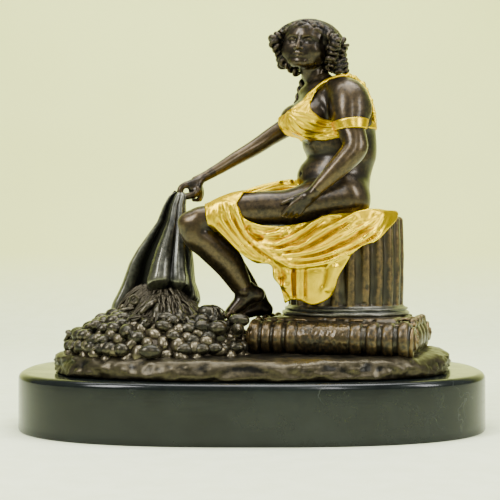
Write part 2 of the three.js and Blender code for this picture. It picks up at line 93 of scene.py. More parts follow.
def flow(rows, gap):
    """Rows of numbers, the first three a place, run smoothly and resampled every gap along the line."""
    rows = np.asarray(rows, float)
    lengths = np.maximum(np.linalg.norm(np.diff(rows[:, :3], axis=0), axis=1), 1e-6)
    knots = np.concatenate([[0.0], np.cumsum(lengths)])
    slopes = np.gradient(rows, knots, axis=0)
    along = np.linspace(0, knots[-1], max(2, int(knots[-1] / gap) + 1))
    i = np.clip(np.searchsorted(knots, along, side="right") - 1, 0, len(lengths) - 1)
    h = lengths[i][:, None]
    t = ((along - knots[i]) / lengths[i])[:, None]
    return (
        (2 * t**3 - 3 * t**2 + 1) * rows[i]
        + (t**3 - 2 * t**2 + t) * h * slopes[i]
        + (3 * t**2 - 2 * t**3) * rows[i + 1]
        + (t**3 - t**2) * h * slopes[i + 1]
    )


def turned(yaw=0.0, tilt=0.0, roll=0.0):
    """Three axes of a lump: turned about the upright, then tipped, in degrees."""
    a, b, c = math.radians(yaw), math.radians(tilt), math.radians(roll)
    rz = np.array([[math.cos(a), -math.sin(a), 0], [math.sin(a), math.cos(a), 0], [0, 0, 1]])
    ry = np.array([[math.cos(b), 0, math.sin(b)], [0, 1, 0], [-math.sin(b), 0, math.cos(b)]])
    rx = np.array([[1, 0, 0], [0, math.cos(c), -math.sin(c)], [0, math.sin(c), math.cos(c)]])
    return (rz @ ry @ rx).T


UPRIGHT = np.eye(3)


def lump_distance(x, y, z, centre, axes, radii):
    """Distance to a ball or an egg shape, near enough for blending."""
    if radii[0] == radii[1] == radii[2]:
        d = (x - centre[0]) ** 2 + (y - centre[1]) ** 2 + (z - centre[2]) ** 2
        return np.sqrt(d) - radii[0]
    near = far = 0.0
    for axis, r in zip(axes, radii):
        s = (x - centre[0]) * axis[0] + (y - centre[1]) * axis[1] + (z - centre[2]) * axis[2]
        near = near + (s / r) ** 2
        far = far + (s / (r * r)) ** 2
    near = np.sqrt(near)
    return near * (near - 1.0) / np.sqrt(far + 1e-9)


class Clay:
    """A block of distances: below zero in the clay, above zero outside it. Widths k are blends."""

    def __init__(self, low, high, step):
        self.step = step
        self.low = np.floor(np.asarray(low, float) / step) * step
        size = np.ceil((np.asarray(high, float) - self.low) / step).astype(int) + 1
        self.field = np.full(size, EMPTY, np.float32)

    def near(self, low, high):
        """The part of the grid between two corners: its slices, and the places along x, y and z."""
        a = np.maximum(np.floor((np.asarray(low) - self.low) / self.step).astype(int), 0)
        b = np.ceil((np.asarray(high) - self.low) / self.step).astype(int) + 1
        b = np.minimum(b, self.field.shape)
        if np.any(b <= a):
            return None
        x, y, z = (self.low[i] + self.step * np.arange(a[i], b[i]) for i in range(3))
        where = tuple(slice(p, q) for p, q in zip(a, b))
        return where, x[:, None, None], y[None, :, None], z[None, None, :]

    def whole(self):
        return self.near(self.low, self.low + self.step * np.array(self.field.shape))

    def trim(self, region, soft):
        """Leaves only the clay that lies where the region is below zero."""
        self.field = (-soft_min(-self.field, -region, soft)).astype(np.float32)

    def join(self, where, shape, k, cut=False):
        """Blends a shape in over a width k, or cuts it out."""
        old = self.field[where]
        self.field[where] = -soft_min(-old, shape, k) if cut else soft_min(old, shape, k)

    def lump(self, centre, radii, axes=UPRIGHT, k=2.0, cut=False):
        radii = (radii,) * 3 if np.isscalar(radii) else radii
        reach = max(radii) + k + 2 * self.step
        spot = self.near(np.subtract(centre, reach), np.add(centre, reach))
        if spot:
            where, x, y, z = spot
            self.join(where, lump_distance(x, y, z, centre, axes, radii), k, cut)

    def beads(self, places, axes, radii, k, cut=False):
        """A row of lumps so close that they read as one form."""
        reach = radii.max() + k + 2 * self.step
        spot = self.near(places.min(0) - reach, places.max(0) + reach)
        if not spot:
            return
        where = spot[0]
        start = np.array([s.start for s in where])
        shape = np.full(self.field[where].shape, 9.0, np.float32)
        for place, turn, size in zip(places, axes, radii):
            r = size.max() + k + self.step
            inner = self.near(place - r, place + r)
            if not inner:
                continue
            at, x, y, z = inner
            local = tuple(slice(s.start - o, s.stop - o) for s, o in zip(at, start))
            local = tuple(slice(max(s.start, 0), s.stop) for s in local)
            part = lump_distance(x, y, z, place, turn, tuple(size))
            part = part[tuple(slice(part.shape[i] - shape[local].shape[i], None) for i in range(3))]
            np.minimum(shape[local], part, out=shape[local])
        self.join(where, shape, k, cut)

    def strand(self, rows, k=2.0, side=(0, 1, 0), cut=False, gap=None, grow=0.0):
        """A limb or cord. Rows are x, y, z and half width, and half depth where it isn't round."""
        rows = np.array([(*r[:4], r[4] if len(r) > 4 else r[3]) for r in rows], float)
        rows[:, 3:] += grow
        path = flow(rows, gap or min(1.2, max(0.3, rows[:, 3:].min() * 0.3)))
        path[:, 3:] = np.maximum(path[:, 3:], 0.15)
        along = np.gradient(path[:, :3], axis=0)
        along /= np.maximum(np.linalg.norm(along, axis=1), 1e-9)[:, None]
        u = np.asarray(side, float) - along * (along @ np.asarray(side, float))[:, None]
        u /= np.maximum(np.linalg.norm(u, axis=1), 1e-9)[:, None]
        v = np.cross(along, u)
        thin = path[:, 3:].min(1)
        radii = np.column_stack([path[:, 3], path[:, 4], thin])
        self.beads(path[:, :3], np.stack([u, v, along], axis=1), radii, k, cut)

    def stack(self, rows, k=2.0, high=8.0, grow=0.0):
        """Level slices piled up: x, y, z, half depth, half width and the way they face, in degrees."""
        path = flow(rows, 1.2)
        axes = np.stack([turned(a) for a in path[:, 5]])
        radii = np.column_stack([path[:, 3] + grow, path[:, 4] + grow, np.full(len(path), high + grow)])
        self.beads(path[:, :3], axes, radii, k)

    def surface(self, x, z, facing=-1):
        """How far along y the clay is first met at x and z, from the front (-1) or the back (1)."""
        i, k = (x - self.low[0]) / self.step, (z - self.low[2]) / self.step
        nx, _, nz = self.field.shape
        if not (0 <= i < nx - 1 and 0 <= k < nz - 1):
            return None
        i0, k0 = int(i), int(k)
        a, b = i - i0, k - k0
        f = self.field
        column = (f[
            i0, :, k0,
        ] * (1 - a) + f[i0 + 1, :, k0] * a) * (1 - b) + (f[i0, :, k0 + 1] * (1 - a) + f[i0 + 1, :, k0 + 1] * a) * b
        if facing > 0:
            column = column[::-1]
        hits = np.nonzero(column < 0)[0]
        if not len(hits) or hits[0] == 0:
            return None
        j = hits[0]
        share = column[j - 1] / (column[j - 1] - column[j])
        steps = j - 1 + share
        if facing > 0:
            steps = len(column) - 1 - steps
        return self.low[1] + steps * self.step

    def trace(self, points, k=0.8, sink=0.35, facing=-1, cut=False):
        """A fold, crease or cord laid on the surface along points of x, z and half width."""
        path = flow([(x, 0.0, z, r) for x, z, r in points], 0.9)
        spots = [(p, self.surface(p[0], p[2], facing)) for p in path]
        spots = [(p, y) for p, y in spots if y is not None]
        if len(spots) < 3:
            return
        level = np.array([y for _, y in spots])
        level = np.convolve(np.pad(level, 2, mode="edge"), np.ones(5) / 5, mode="valid")
        rows = [(p[0], y - facing * sink * p[3], p[2], max(p[3], 0.2)) for (p, _), y in zip(spots, level)]
        self.strand(rows, k=k, cut=cut, gap=0.6)

    def keep_inside(self, corners, soft=0.7):
        """Trims the clay to an outline in x and z."""
        _, x, _, z = self.whole()
        self.trim(outline_distance(corners, x[:, 0], z[0])[:, None, :], soft)

    def points_and_faces(self):
        field = self.field
        for axis in range(3):
            for end in (0, -1):
                edge = [slice(None)] * 3
                edge[axis] = end
                field[tuple(edge)] = np.maximum(field[tuple(edge)], 0.5 * self.step)
        grid = openvdb.FloatGrid(EMPTY)
        grid.copyFromArray(field)
        points, quads = grid.convertToQuads(0.0)
        return points * self.step + self.low, quads


# From points and faces to finished pieces
def new_mesh(name, points, faces):
    """A mesh from points in millimetres and equal-sided faces."""
    faces = np.asarray(faces)
    mesh = bpy.data.meshes.new(name)
    corners = faces.shape[1]
    mesh.vertices.add(len(points))
    mesh.vertices.foreach_set("co", (np.asarray(points, float) * MM).ravel())
    mesh.loops.add(faces.size)
    mesh.loops.foreach_set("vertex_index", faces.ravel().astype(np.int32))
    mesh.polygons.add(len(faces))
    mesh.polygons.foreach_set("loop_start", np.arange(0, faces.size, corners, dtype=np.int32))
    mesh.update(calc_edges=True)
    mesh.validate()
    return mesh


def neighbours(a, b, n):
    """Gives a function that averages values over the points joined to each point by the edges a-b."""
    count = np.maximum(np.bincount(a, minlength=n) + np.bincount(b, minlength=n), 1)[:, None]

    def mean(values):
        sums = [np.bincount(a, column[b], n) + np.bincount(b, column[a], n) for column in values.T]
        return np.stack(sums, axis=1) / count

    return mean


def evened(points, quads, passes):
    """Takes off the small steps that the grid leaves, without shrinking the form."""
    mean = neighbours(quads.ravel(), np.roll(quads, -1, axis=1).ravel(), len(points))
    for weight in (0.5, -0.53) * passes:
        points = points + weight * (mean(points) - points)
    return points


def mark_hollows(mesh, passes):
    """Stores how deep each point lies in a hollow (above 0) or on a ridge (below 0), in millimetres."""
    n = len(mesh.vertices)
    places = np.empty(n * 3)
    mesh.vertices.foreach_get("co", places)
    places = places.reshape(-1, 3) * 1000
    edges = np.empty(len(mesh.edges) * 2, np.int32)
    mesh.edges.foreach_get("vertices", edges)
    mean = neighbours(*edges.reshape(-1, 2).T, n)
    soft = places.copy()
    for _ in range(passes):
        soft = 0.4 * soft + 0.6 * mean(soft)
    normals = np.empty(n * 3, np.float32)
    mesh.vertices.foreach_get("normal", normals)
    depth = np.einsum("ij,ij->i", soft - places, normals.reshape(-1, 3))[:, None]
    for _ in range(2):
        depth = 0.5 * depth + 0.5 * mean(depth)
    layer = mesh.attributes.new("hollow", "FLOAT", "POINT")
    layer.data.foreach_set("value", depth.ravel().astype(np.float32))


def plain_mesh(obj):
    """What an object's modifiers make, as a mesh of its own."""
    return bpy.data.meshes.new_from_object(obj.evaluated_get(bpy.context.evaluated_depsgraph_get()))


def plain_copy(obj):
    """Turns what the modifiers make into the piece's own mesh."""
    mesh, old = plain_mesh(obj), obj.data
    obj.modifiers.clear()
    obj.data = mesh
    bpy.data.meshes.remove(old)
    mesh.name = obj.name


def finish_piece(obj, material, node="bronze_casting", passes=10, share=1.0):
    """Gives a piece its finish, thins its faces to a share of them, and says what it rides on and replaces."""
    mesh = obj.data
    mesh.materials.clear()
    mesh.materials.append(material)
    mesh.polygons.foreach_set("use_smooth", [True] * len(mesh.polygons))
    mark_hollows(mesh, passes)
    if share < 1:
        fewer = obj.modifiers.new("fewer_faces", "DECIMATE")
        fewer.ratio = share
        plain_copy(obj)
    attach(obj, "root")
    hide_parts(node)
    return obj


def add_object(name, data):
    """Puts a mesh, a curve, a lamp or a camera in the scene."""
    obj = bpy.data.objects.new(name, data)
    bpy.context.scene.collection.objects.link(obj)
    return obj


def clay_piece(name, clay, material, passes=10, even=0, share=0.6):
    """Turns a block of clay into a finished piece, evened out in a number of passes."""
    points, quads = clay.points_and_faces()
    obj = add_object(name, new_mesh(name, evened(points, quads, even), quads))
    return finish_piece(obj, material, passes=passes, share=share)


def skin_faces(rings, count):
    """Faces between rings of count points each."""
    around = np.arange(count)
    after = (around + 1) % count
    row = np.column_stack([around, after, after + count, around + count])
    return np.concatenate([row + i * count for i in range(rings - 1)])


def mesh_of(name, points, faces):
    """A mesh from points in millimetres and faces of any number of sides."""
    mesh = bpy.data.meshes.new(name)
    mesh.from_pydata([tuple(p) for p in np.asarray(points) * MM], [], [tuple(map(int, f)) for f in faces])
    mesh.validate()
    return mesh


def loft(name, rings):
    """A mesh over rings of points, closed at both ends. Rings run counter-clockwise from foot to top."""
    rings = np.asarray(rings, float)
    n, count, _ = rings.shape
    points = np.vstack([rings.reshape(-1, 3), rings[0].mean(0), rings[-1].mean(0)])
    around = np.arange(count)
    after, last = (around + 1) % count, (n - 1) * count
    foot = np.column_stack([after, around, np.full(count, n * count)])
    top = np.column_stack([last + around, last + after, np.full(count, n * count + 1)])
    return mesh_of(name, points, [*skin_faces(n, count), *foot, *top])


def lofted_piece(name, rings, material, node="bronze_casting", passes=10):
    return finish_piece(add_object(name, loft(name, rings)), material, node, passes)


def turns(count):
    """The angles of a number of places round a ring."""
    return [j / count * FULL_TURN for j in range(count)]


def oval(turn, a, b, power=OVAL_POWER):
    """A place on an oval fuller than an ellipse, at an angle or a row of angles."""
    c, s = np.cos(np.asarray(turn)), np.sin(np.asarray(turn))
    return a * np.sign(c) * np.abs(c) ** (2 / power), b * np.sign(s) * np.abs(s) ** (2 / power)


def ripple(x, y, z):
    return noise.noise(Vector((x, y, z)))


def chance(n):
    """A number from 0 to 1 that looks drawn by lot and is the same every time."""
    s = math.sin(n * 12.9898 + 4.1) * 43758.5453
    return s - math.floor(s)


# Finishes
class Finish:
    """A node material under way: small helpers that add and link nodes."""

    def __init__(self, name):
        self.material = bpy.data.materials.new(name)
        self.material.use_nodes = True
        self.nodes = self.material.node_tree.nodes
        self.links = self.material.node_tree.links
        self.shader = self.nodes["Principled BSDF"]
        self.place = self.add("ShaderNodeTexCoord").outputs["Object"]

    def add(self, kind, **settings):
        node = self.nodes.new(kind)
        for key, value in settings.items():
            setattr(node, key, value)
        return node

    def feed(self, socket, value):
        """Gives a socket a number or a colour, or joins another node's output to it."""
        if isinstance(value, (int, float)):
            socket.default_value = value
        elif isinstance(value, tuple):
            socket.default_value = (*value, 1.0)
        else:
            self.links.new(value, socket)

    def noise(self, scale, detail=4.0, roughness=0.55, stretch=None, place=None, output="Fac"):
        node = self.add("ShaderNodeTexNoise")
        for key, value in (("Scale", scale), ("Detail", detail), ("Roughness", roughness)):
            node.inputs[key].default_value = value
        place = place or self.place
        if stretch:
            mapping = self.add("ShaderNodeMapping")
            mapping.inputs["Scale"].default_value = stretch
            self.links.new(place, mapping.inputs["Vector"])
            place = mapping.outputs["Vector"]
        self.links.new(place, node.inputs["Vector"])
        return node.outputs[output]

    def hollows(self):
        return self.add("ShaderNodeAttribute", attribute_name="hollow").outputs["Fac"]

    def between(self, value, low, high, out_low=0.0, out_high=1.0):
        node = self.add("ShaderNodeMapRange", clamp=True)
        for key, number in (("From Min", low), ("From Max", high), ("To Min", out_low), ("To Max", out_high)):
            node.inputs[key].default_value = number
        self.links.new(value, node.inputs["Value"])
        return node.outputs["Result"]

    def math(self, operation, a, b):
        node = self.add("ShaderNodeMath", operation=operation)
        self.feed(node.inputs[0], a)
        self.feed(node.inputs[1], b)
        return node.outputs[0]

    def mix(self, share, a, b):
        node = self.add("ShaderNodeMix", data_type="RGBA")
        for i, value in ((0, share), (6, a), (7, b)):
            self.feed(node.inputs[i], value)
        return node.outputs[2]

    def bump(self, height, distance, strength):
        node = self.add("ShaderNodeBump")
        node.inputs["Distance"].default_value = distance
        node.inputs["Strength"].default_value = strength
        self.links.new(height, node.inputs["Height"])
        self.links.new(node.outputs["Normal"], self.shader.inputs["Normal"])

    def dress(self, **values):
        """Sets the shader's sockets, written with small letters and underscores."""
        for key, value in values.items():
            self.feed(self.shader.inputs[key.replace("_", " ").title().replace("Ior", "IOR")], value)


def patina(name, deep, middle, rubbed, rough=(0.26, 0.42), coat=0.3, ridge=0.25, dusty=None, pitted=0.35):
    """Brown bronze: dark in the hollows, warmer where hands have rubbed it, waxed all over."""
    f = Finish(name)
    hollow = f.hollows()
    broad = f.noise(38, 3)
    fine = f.noise(420, 5)
    tone = f.mix(f.between(broad, 0.35, 0.65), middle, deep)
    worn = f.math("ADD", f.between(hollow, ridge, -ridge), f.between(fine, 0.3, 0.7, -0.22, 0.22))
    tone = f.mix(f.between(worn, 0.5, 1.1), tone, rubbed)
    tone = f.mix(f.between(hollow, 0.02, ridge * 1.3), tone, dusty or deep)
    sheen = f.between(broad, 0.3, 0.7, *rough)
    f.dress(base_color=tone, roughness=sheen, metallic=0.82, coat_weight=coat, coat_roughness=0.2)
    f.bump(fine, 0.00014, pitted)
    return f.material


def gilding():
    """Satin gold over bronze, with painted highlights that brighten the folds and painted shade that turns the
    hollows brown.
    """
    f = Finish("satin_gilding")
    hollow = f.hollows()
    fine = f.noise(300, 5)
    broad = f.noise(60, 3)
    tone = f.mix(f.between(broad, 0.35, 0.65), (0.72, 0.5, 0.002), (0.58, 0.39, 0.002))
    # Painted shade: the hollows of the folds are coloured dark brown, broken up a little by fine noise
    low = f.math("ADD", f.between(hollow, 0.03, 0.4), f.between(fine, 0.35, 0.7, -0.12, 0.12))
    tone = f.mix(f.between(low, 0.1, 0.85), tone, (0.19, 0.115, 0.004))
    # Painted highlight: the crests of the folds are coloured a bright pale gold
    tone = f.mix(f.between(hollow, -0.12, -0.45), tone, (0.95, 0.73, 0.02))
    sheen = f.between(broad, 0.3, 0.7, 0.26, 0.38)
    f.dress(base_color=tone, roughness=sheen, metallic=1.0, specular_tint=(1.0, 0.78, 0.14))
    f.bump(f.noise(170, 5, 0.65), 0.0005, 0.5)
    return f.material


def polished_marble():
    """Near-black marble with a few grey veins and the fine scratches of an old polish."""
    f = Finish("black_marble")
    push = f.add("ShaderNodeVectorMath", operation="MULTIPLY_ADD")
    push.inputs[1].default_value = (0.07, 0.07, 0.07)
    f.feed(push.inputs[0], f.noise(9, 6, 0.5, output="Color"))
    f.feed(push.inputs[2], f.place)
    vein = f.noise(26, 3, 0.5, place=push.outputs[0])
    ridge = f.math("ABSOLUTE", f.math("SUBTRACT", vein, 0.5), 0)
    line = f.math("MULTIPLY", f.between(ridge, 0.0, 0.006, 1, 0), f.between(f.noise(22, 4), 0.55, 0.7))
    cloud = f.between(f.noise(26, 7, 0.62), 0.38, 0.7)
    tone = f.mix(cloud, (0.003, 0.0043, 0.0042), (0.009, 0.012, 0.0112))
    tone = f.mix(f.math("MULTIPLY", line, 0.3), tone, (0.16, 0.18, 0.16))
    scratch = f.between(f.noise(60, 8, 0.7, stretch=(1, 1, 14)), 0.35, 0.75, 0.1, 0.26)
    f.dress(base_color=tone, roughness=scratch, metallic=0.0, specular_ior_level=0.27)
    f.bump(f.noise(240, 3), 0.00005, 0.15)
    return f.material


BRONZE = patina("brown_bronze", (0.011, 0.0085, 0.005), (0.023, 0.0165, 0.0085), (0.082, 0.056, 0.024), coat=0.22)
HAIR_BRONZE = patina(
    "hair_bronze", (0.005, 0.0045, 0.003), (0.009, 0.0075, 0.0055), (0.07, 0.054, 0.033), rough=(0.3, 0.44),
    coat=0.04, dusty=(0.0025, 0.0025, 0.002),
)
VEIL_BRONZE = patina(
    "veil_bronze", (0.018, 0.019, 0.014), (0.04, 0.041, 0.031), (0.12, 0.118, 0.085), rough=(0.25, 0.38), coat=0.25,
    dusty=(0.007, 0.0065, 0.005),
)
STONY_BRONZE = patina(
    "olive_bronze", (0.024, 0.02, 0.011), (0.052, 0.038, 0.016), (0.17, 0.11, 0.038), rough=(0.32, 0.48), ridge=0.35,
    dusty=(0.015, 0.016, 0.012),
)
WEATHERED_BRONZE = patina(
    "rim_bronze", (0.022, 0.024, 0.02), (0.042, 0.045, 0.037), (0.14, 0.135, 0.1), rough=(0.3, 0.46), ridge=0.35,
    pitted=0.6,
)
ROCKY_BRONZE = patina(
    "rocky_bronze", (0.005, 0.005, 0.0035), (0.011, 0.0098, 0.0056), (0.055, 0.045, 0.024), rough=(0.3, 0.46),
    coat=0.06, ridge=0.35, dusty=(0.004, 0.004, 0.003), pitted=0.9,
)
POD_BRONZE = patina(
    "pod_bronze", (0.014, 0.0135, 0.0085), (0.028, 0.025, 0.015), (0.12, 0.1, 0.058), rough=(0.28, 0.42), coat=0.12,
    ridge=0.4, dusty=(0.006, 0.0055, 0.004),
)
STRAW_BRONZE = patina(
    "straw_bronze", (0.004, 0.0037, 0.0025), (0.008, 0.007, 0.0045), (0.045, 0.038, 0.022), rough=(0.34, 0.5),
    coat=0.03, ridge=0.3, dusty=(0.002, 0.002, 0.0015),
)
EARTHY_BRONZE = patina(
    "earth_bronze", (0.004, 0.0035, 0.0025), (0.008, 0.007, 0.005), (0.04, 0.032, 0.02), rough=(0.45, 0.6), coat=0.02,
    ridge=0.4, dusty=(0.003, 0.003, 0.002),
)
GOLD = gilding()
MARBLE = polished_marble()


# The figure: torso, legs, arms, hands and feet
def shape_torso(clay, grow=0.0):
    clay.stack([
        (57, 2, 136, 20, 24, 8), (57, 1, 146, 21, 26.5, 10), (56, 0, 156, 22.4, 25.5, 12),
        (55.9, 0, 165, 23.6, 24.2, 15), (57.2, 0, 170.5, 23.8, 23.5, 16), (59.9, 0, 177, 23.2, 22.8, 18),
        (58.8, 0, 185, 25.2, 22.8, 20), (58.3, 0, 192, 25.2, 23.5, 22), (57.6, 0, 200, 24.6, 25.2, 22),
        (55.8, 0, 207, 25.8, 26.2, 22), (54.6, 0, 212, 24.4, 26, 22), (51.6, -0.5, 218, 19.5, 22, 22),
        (47.8, -1, 223, 13.6, 14.5, 22), (44.5, -1.5, 229, 9, 9.2, 22),
    ], high=7, grow=grow)
    # Breasts
    clay.lump((37, -16.5, 201), (12.6 + grow, 12 + grow, 12.4 + grow), turned(22, -10), k=5)
    clay.lump((31.5, -19, 199.5), 8.6 + grow, k=5)
    clay.lump((30.5, -1.5, 202.5), (12.2 + grow, 10.6 + grow, 10.8 + grow), turned(22, -10), k=4)


# Limbs, as places along them with their half width: thigh to ankle, and shoulder to wrist
NEAR_LEG = [
    (58, -13.5, 150, 17), (42, -18.5, 147, 14.4), (25, -21.8, 142.9, 12), (5, -23, 142, 11.4),
    (-12, -24, 140.2, 10.7), (-26, -24, 135.6, 9.2), (-35, -24, 132.4, 9.9), (-35.6, -23.8, 127, 10),
    (-28, -22.8, 119.6, 9.8), (-20.8, -21.8, 112.6, 9.3), (-14.6, -20.8, 106, 8.6), (-10, -19.8, 99, 7.6),
    (-7, -19, 93.4, 6.7), (-5.6, -18.4, 89, 6),
]
FAR_LEG = [
    (57, 14, 150, 17.4), (40, 15.5, 149, 15), (18, 15.5, 146, 13), (-5, 14.5, 143.4, 11.4), (-20, 14, 138.6, 9.6),
    (-27, 13, 132.4, 9), (-26, 12, 125, 8.8), (-18, 10.5, 113, 8.4), (-9.6, 8.6, 101.4, 7.4), (-2, 7, 91.5, 5.8),
    (3, 6, 83, 5),
]
NEAR_ARM = [
    (59.5, -17, 217.6, 10.9), (62.5, -22.5, 213, 13.2), (62.9, -26.5, 206, 12.8), (62.7, -29.5, 199, 10.9),
    (63.6, -32.5, 191.6, 8.9), (65.2, -35.6, 185, 8.2), (64.9, -37.6, 179.6, 8), (59.6, -39.4, 172.6, 7.3),
    (53.4, -40.5, 166.2, 6.4), (47.2, -41, 160, 5.4), (41.6, -41, 154.4, 4.3), (38.4, -40.6, 151, 3.7),
]


def leg_at(rows, x):
    """Where a thigh's middle lies at a place along it, and how thick it is there: y, z and half width."""
    spots = sorted(r for r in rows if r[2] > 126)
    return [float(np.interp(x, [r[0] for r in spots], [r[i] for r in spots])) for i in (1, 2, 3)]


def build_body():
    clay = Clay((-58, -52, 66), (96, 52, 248), 0.9)
    shape_torso(clay)
    # Shoulders and the muscles that run up to the neck
    clay.strand([(46, -6, 226, 5.5), (53, -10, 221, 7), (60, -16, 217.5, 10.4)], k=6)
    clay.strand([(46, 3, 226, 5.5), (46, 12, 221, 7), (43, 20, 215, 9)], k=6)
    clay.lump((62, 12, 208), (13, 13, 12), k=7)
    clay.lump((66, -12, 205), (12, 12, 13), k=7)
    # Collarbones, and the furrow of the spine
    clay.strand([(34, -3, 222, 1.4), (41, -11, 223, 1.7), (52, -18, 224.5, 1.8)], k=3.5)
    clay.strand([(33, 1, 221, 1.4), (34, 9, 221, 1.6), (38, 17, 220, 1.6)], k=3.5)
    clay.strand([(82, 8, 206, 1.6), (85, 7, 192, 1.8), (84.5, 5, 178, 1.9), (81.5, 3, 160, 1.7)], k=4, cut=True)
    # Hips, belly and seat
    clay.lump((62, -13, 149), (14.5, 14, 12), k=7)
    clay.lump((62, 15, 149), (14.5, 14, 12), k=7)
    clay.lump((46, -2, 164.5), (15, 15, 10), k=6)
    clay.lump((32.4, -9.5, 166), 1.1, k=1.2, cut=True)
    # Thighs and lower legs
    clay.strand(NEAR_LEG, k=4)
    clay.lump((-16.4, -18.6, 111.5), (7.2, 7.6, 12.5), turned(0, -44), k=5)
    clay.lump((-41.2, -24.3, 133), (6.8, 7, 6.8), turned(0, 35), k=3)
    clay.strand([
        (-43.6, -24, 127, 1.6), (-36, -24, 118, 1.3), (-27, -23, 108.6, 1.2), (-18.4, -21, 99, 1.1),
        (-12, -19.4, 91, 1),
    ], k=5)
    clay.strand(FAR_LEG, k=4)
    clay.strand(NEAR_ARM, k=3)
    clay.lump((68.6, -37.6, 181), (4.2, 4, 4.6), k=3)
    clay.strand([(69, -24, 214, 4), (73, -26, 206, 4.2), (70.6, -28, 199, 3)], k=4)
    # Far arm, reaching out to the veil
    clay.strand([
        (47, 18, 216, 9.5), (38, 24, 211, 9.4), (27, 25, 203, 7.2), (14, 23.5, 194.6, 6.1), (2.2, 21, 186.5, 5.5),
        (-11.5, 16, 178, 4.7), (-23.5, 12, 170.4, 3.9), (-33, 8.6, 164.9, 3.3), (-38, 7, 162.4, 3.2),
    ], k=3)
    return clay_piece("figure_body", clay, BRONZE, passes=14, even=3, share=0.5)


def build_near_hand():
    """The hand that rests on the thigh, closed: the forefinger and thumb lie forwards, a dark gap between them."""
    clay = Clay((10, -50, 130), (50, -28, 162), 0.4)
    clay.strand([(46, -41, 158.8, 5.1), (41.6, -41, 154.4, 4.2), (38.6, -40.6, 151, 3.9, 3.5)], k=1.5)
    palm = (0.75, 0, -0.65)
    clay.strand([
        (39.6, -40.4, 151.6, 3.8, 3.4), (35, -39.4, 148, 4.6, 3.2), (30.6, -38.4, 144.8, 4.8, 2.9),
        (27.6, -37.8, 142.6, 4.4, 2.4),
    ], side=palm, k=2)
    for start, bend, tip, size in (
        ((31, -40.4, 147.4), (25, -40.6, 143.4), (19.8, -38.2, 137.8), 1.8),
        ((29.6, -39.8, 144.6), (25.4, -40, 140.8), (22.6, -37.4, 136.8), 1.7),
        ((30.6, -39.2, 142.6), (27.8, -39.4, 139.4), (25.4, -36.8, 136.4), 1.6),
        ((32, -38.6, 141.4), (30.4, -38.6, 138.8), (28.4, -36.4, 136.6), 1.5),
    ):
        clay.strand([(*start, size + 0.2), (*bend, size), (*tip, size - 0.5)], k=1.2)
    clay.strand([
        (36, -38.5, 150.4, 2.4), (30, -37.6, 149, 2), (24.6, -36.6, 147.2, 1.7), (19.6, -35.6, 145.2, 1.3),
    ], k=1.2)
    clay.lump((21.8, -39.6, 143.8), (2.6, 2.6, 1.3), turned(0, -28), k=0.8, cut=True)
    return clay_piece("figure_left_hand", clay, BRONZE, passes=12)


def build_far_hand():
    """The hand that pinches the veil between finger and thumb, closed but for a small gap."""
    clay = Clay((-56, -6, 143), (-22, 20, 174), 0.4)
    clay.strand([(-26, 11.2, 168.9, 3.8), (-32, 8.8, 165.2, 3.3), (-37, 7, 162, 3.6, 3.1)], k=1.2)
    clay.lump((-38.6, 5.6, 157.6), (5.4, 4.4, 4.9), turned(0, 30), k=2)
    clay.strand([(-36, 6.4, 161.4, 3.4), (-41, 5, 160.2, 2.9), (-45, 3.4, 158.6, 2.4)], k=1.6)
    # Forefinger over the top, thumb underneath, meeting at the cloth
    clay.strand([
        (-44, 3.4, 159.4, 2.4), (-47.2, 2.4, 157.4, 2.3), (-48.2, 2, 154.8, 2.1), (-47.6, 2.4, 151.8, 1.7),
    ], k=0.9)
    clay.strand([
        (-36.6, 3, 156, 2.7), (-38.6, 1.8, 153, 2.5), (-42.6, 1.8, 151.8, 2.4), (-47.2, 2.4, 151.4, 1.9),
    ], k=1)
    clay.lump((-44, 3, 155.7), (1.45, 9, 1.45), k=0.5, cut=True)
    # The other fingers curl under the palm, the last one a little apart
    for i in range(3):
        y = 4.2 + 2.3 * i
        clay.strand([
            (-36.8 + i * 0.4, y, 160.2, 2.2), (-35.2 + i * 0.4, y + 0.3, 156.4, 2),
            (-35 + i * 0.4, y + 0.2, 152.4, 1.7), (-36 + i * 0.4, y - 0.1, 149.8, 1.4),
            (-39.4 + i * 0.4, y - 0.4, 149.2, 1.05),
        ], k=0.6)
    return clay_piece("figure_right_hand", clay, BRONZE, passes=12)


def build_feet():
    clay = Clay((-34, -34, 64), (24, 16, 98), 0.5)

    def foot(heel, arch, ball, toes, spread, ankle):
        clay.strand([(*ankle, 6), (*heel, 4.6)], k=3)
        clay.strand([(*heel, 4.4), (*arch, 5, 4.4), (*ball, 5.4, 3.4)], k=2)
        clay.strand([(*ankle, 5.8), (*arch, 5, 4.8), (*ball, 4.8, 3)], k=3)
        along = unit(np.subtract(toes, ball))
        across = unit(np.cross((0, 0, 1), along))
        for i in range(5):
            off = (i - 1.6) * spread
            size = 2.0 if i == 0 else 1.6 - 0.1 * i
            start = np.add(ball, across * off)
            end = start + along * (8.5 - 0.8 * i)
            middle = (start + end) / 2 + (0, 0, 0.9)
            clay.strand([(*start, size + 0.4), (*middle, size + 0.1), (*end, size)], k=0.7)

    foot((3.6, -16.8, 86.4), (-6.4, -18.6, 82), (-13.2, -20.4, 75.4), (-19.4, -22, 70.8), 2.1, (-5.4, -18.2, 90.4))
    clay.lump((-5.4, -23.2, 88), (2.4, 1.9, 2.4), k=2)
    foot((9.4, 5, 75.6), (2, 4, 76.4), (-6.6, 2, 73), (-14, 0.6, 70.4), 2.1, (3, 6, 84.6))
    return clay_piece("figure_feet", clay, BRONZE, passes=10)


# The head looks out over the left shoulder. Plain, regular features, the same on both sides.
HEAD = np.array([36.4, -6.0, 252.6])
HEAD_AXES = turned(-24.0, 7.0)


def on_head(right, out, up):
    """A place on the head: to her left, forwards and up, from its middle."""
    return HEAD + right * HEAD_AXES[0] - out * HEAD_AXES[1] + up * HEAD_AXES[2]


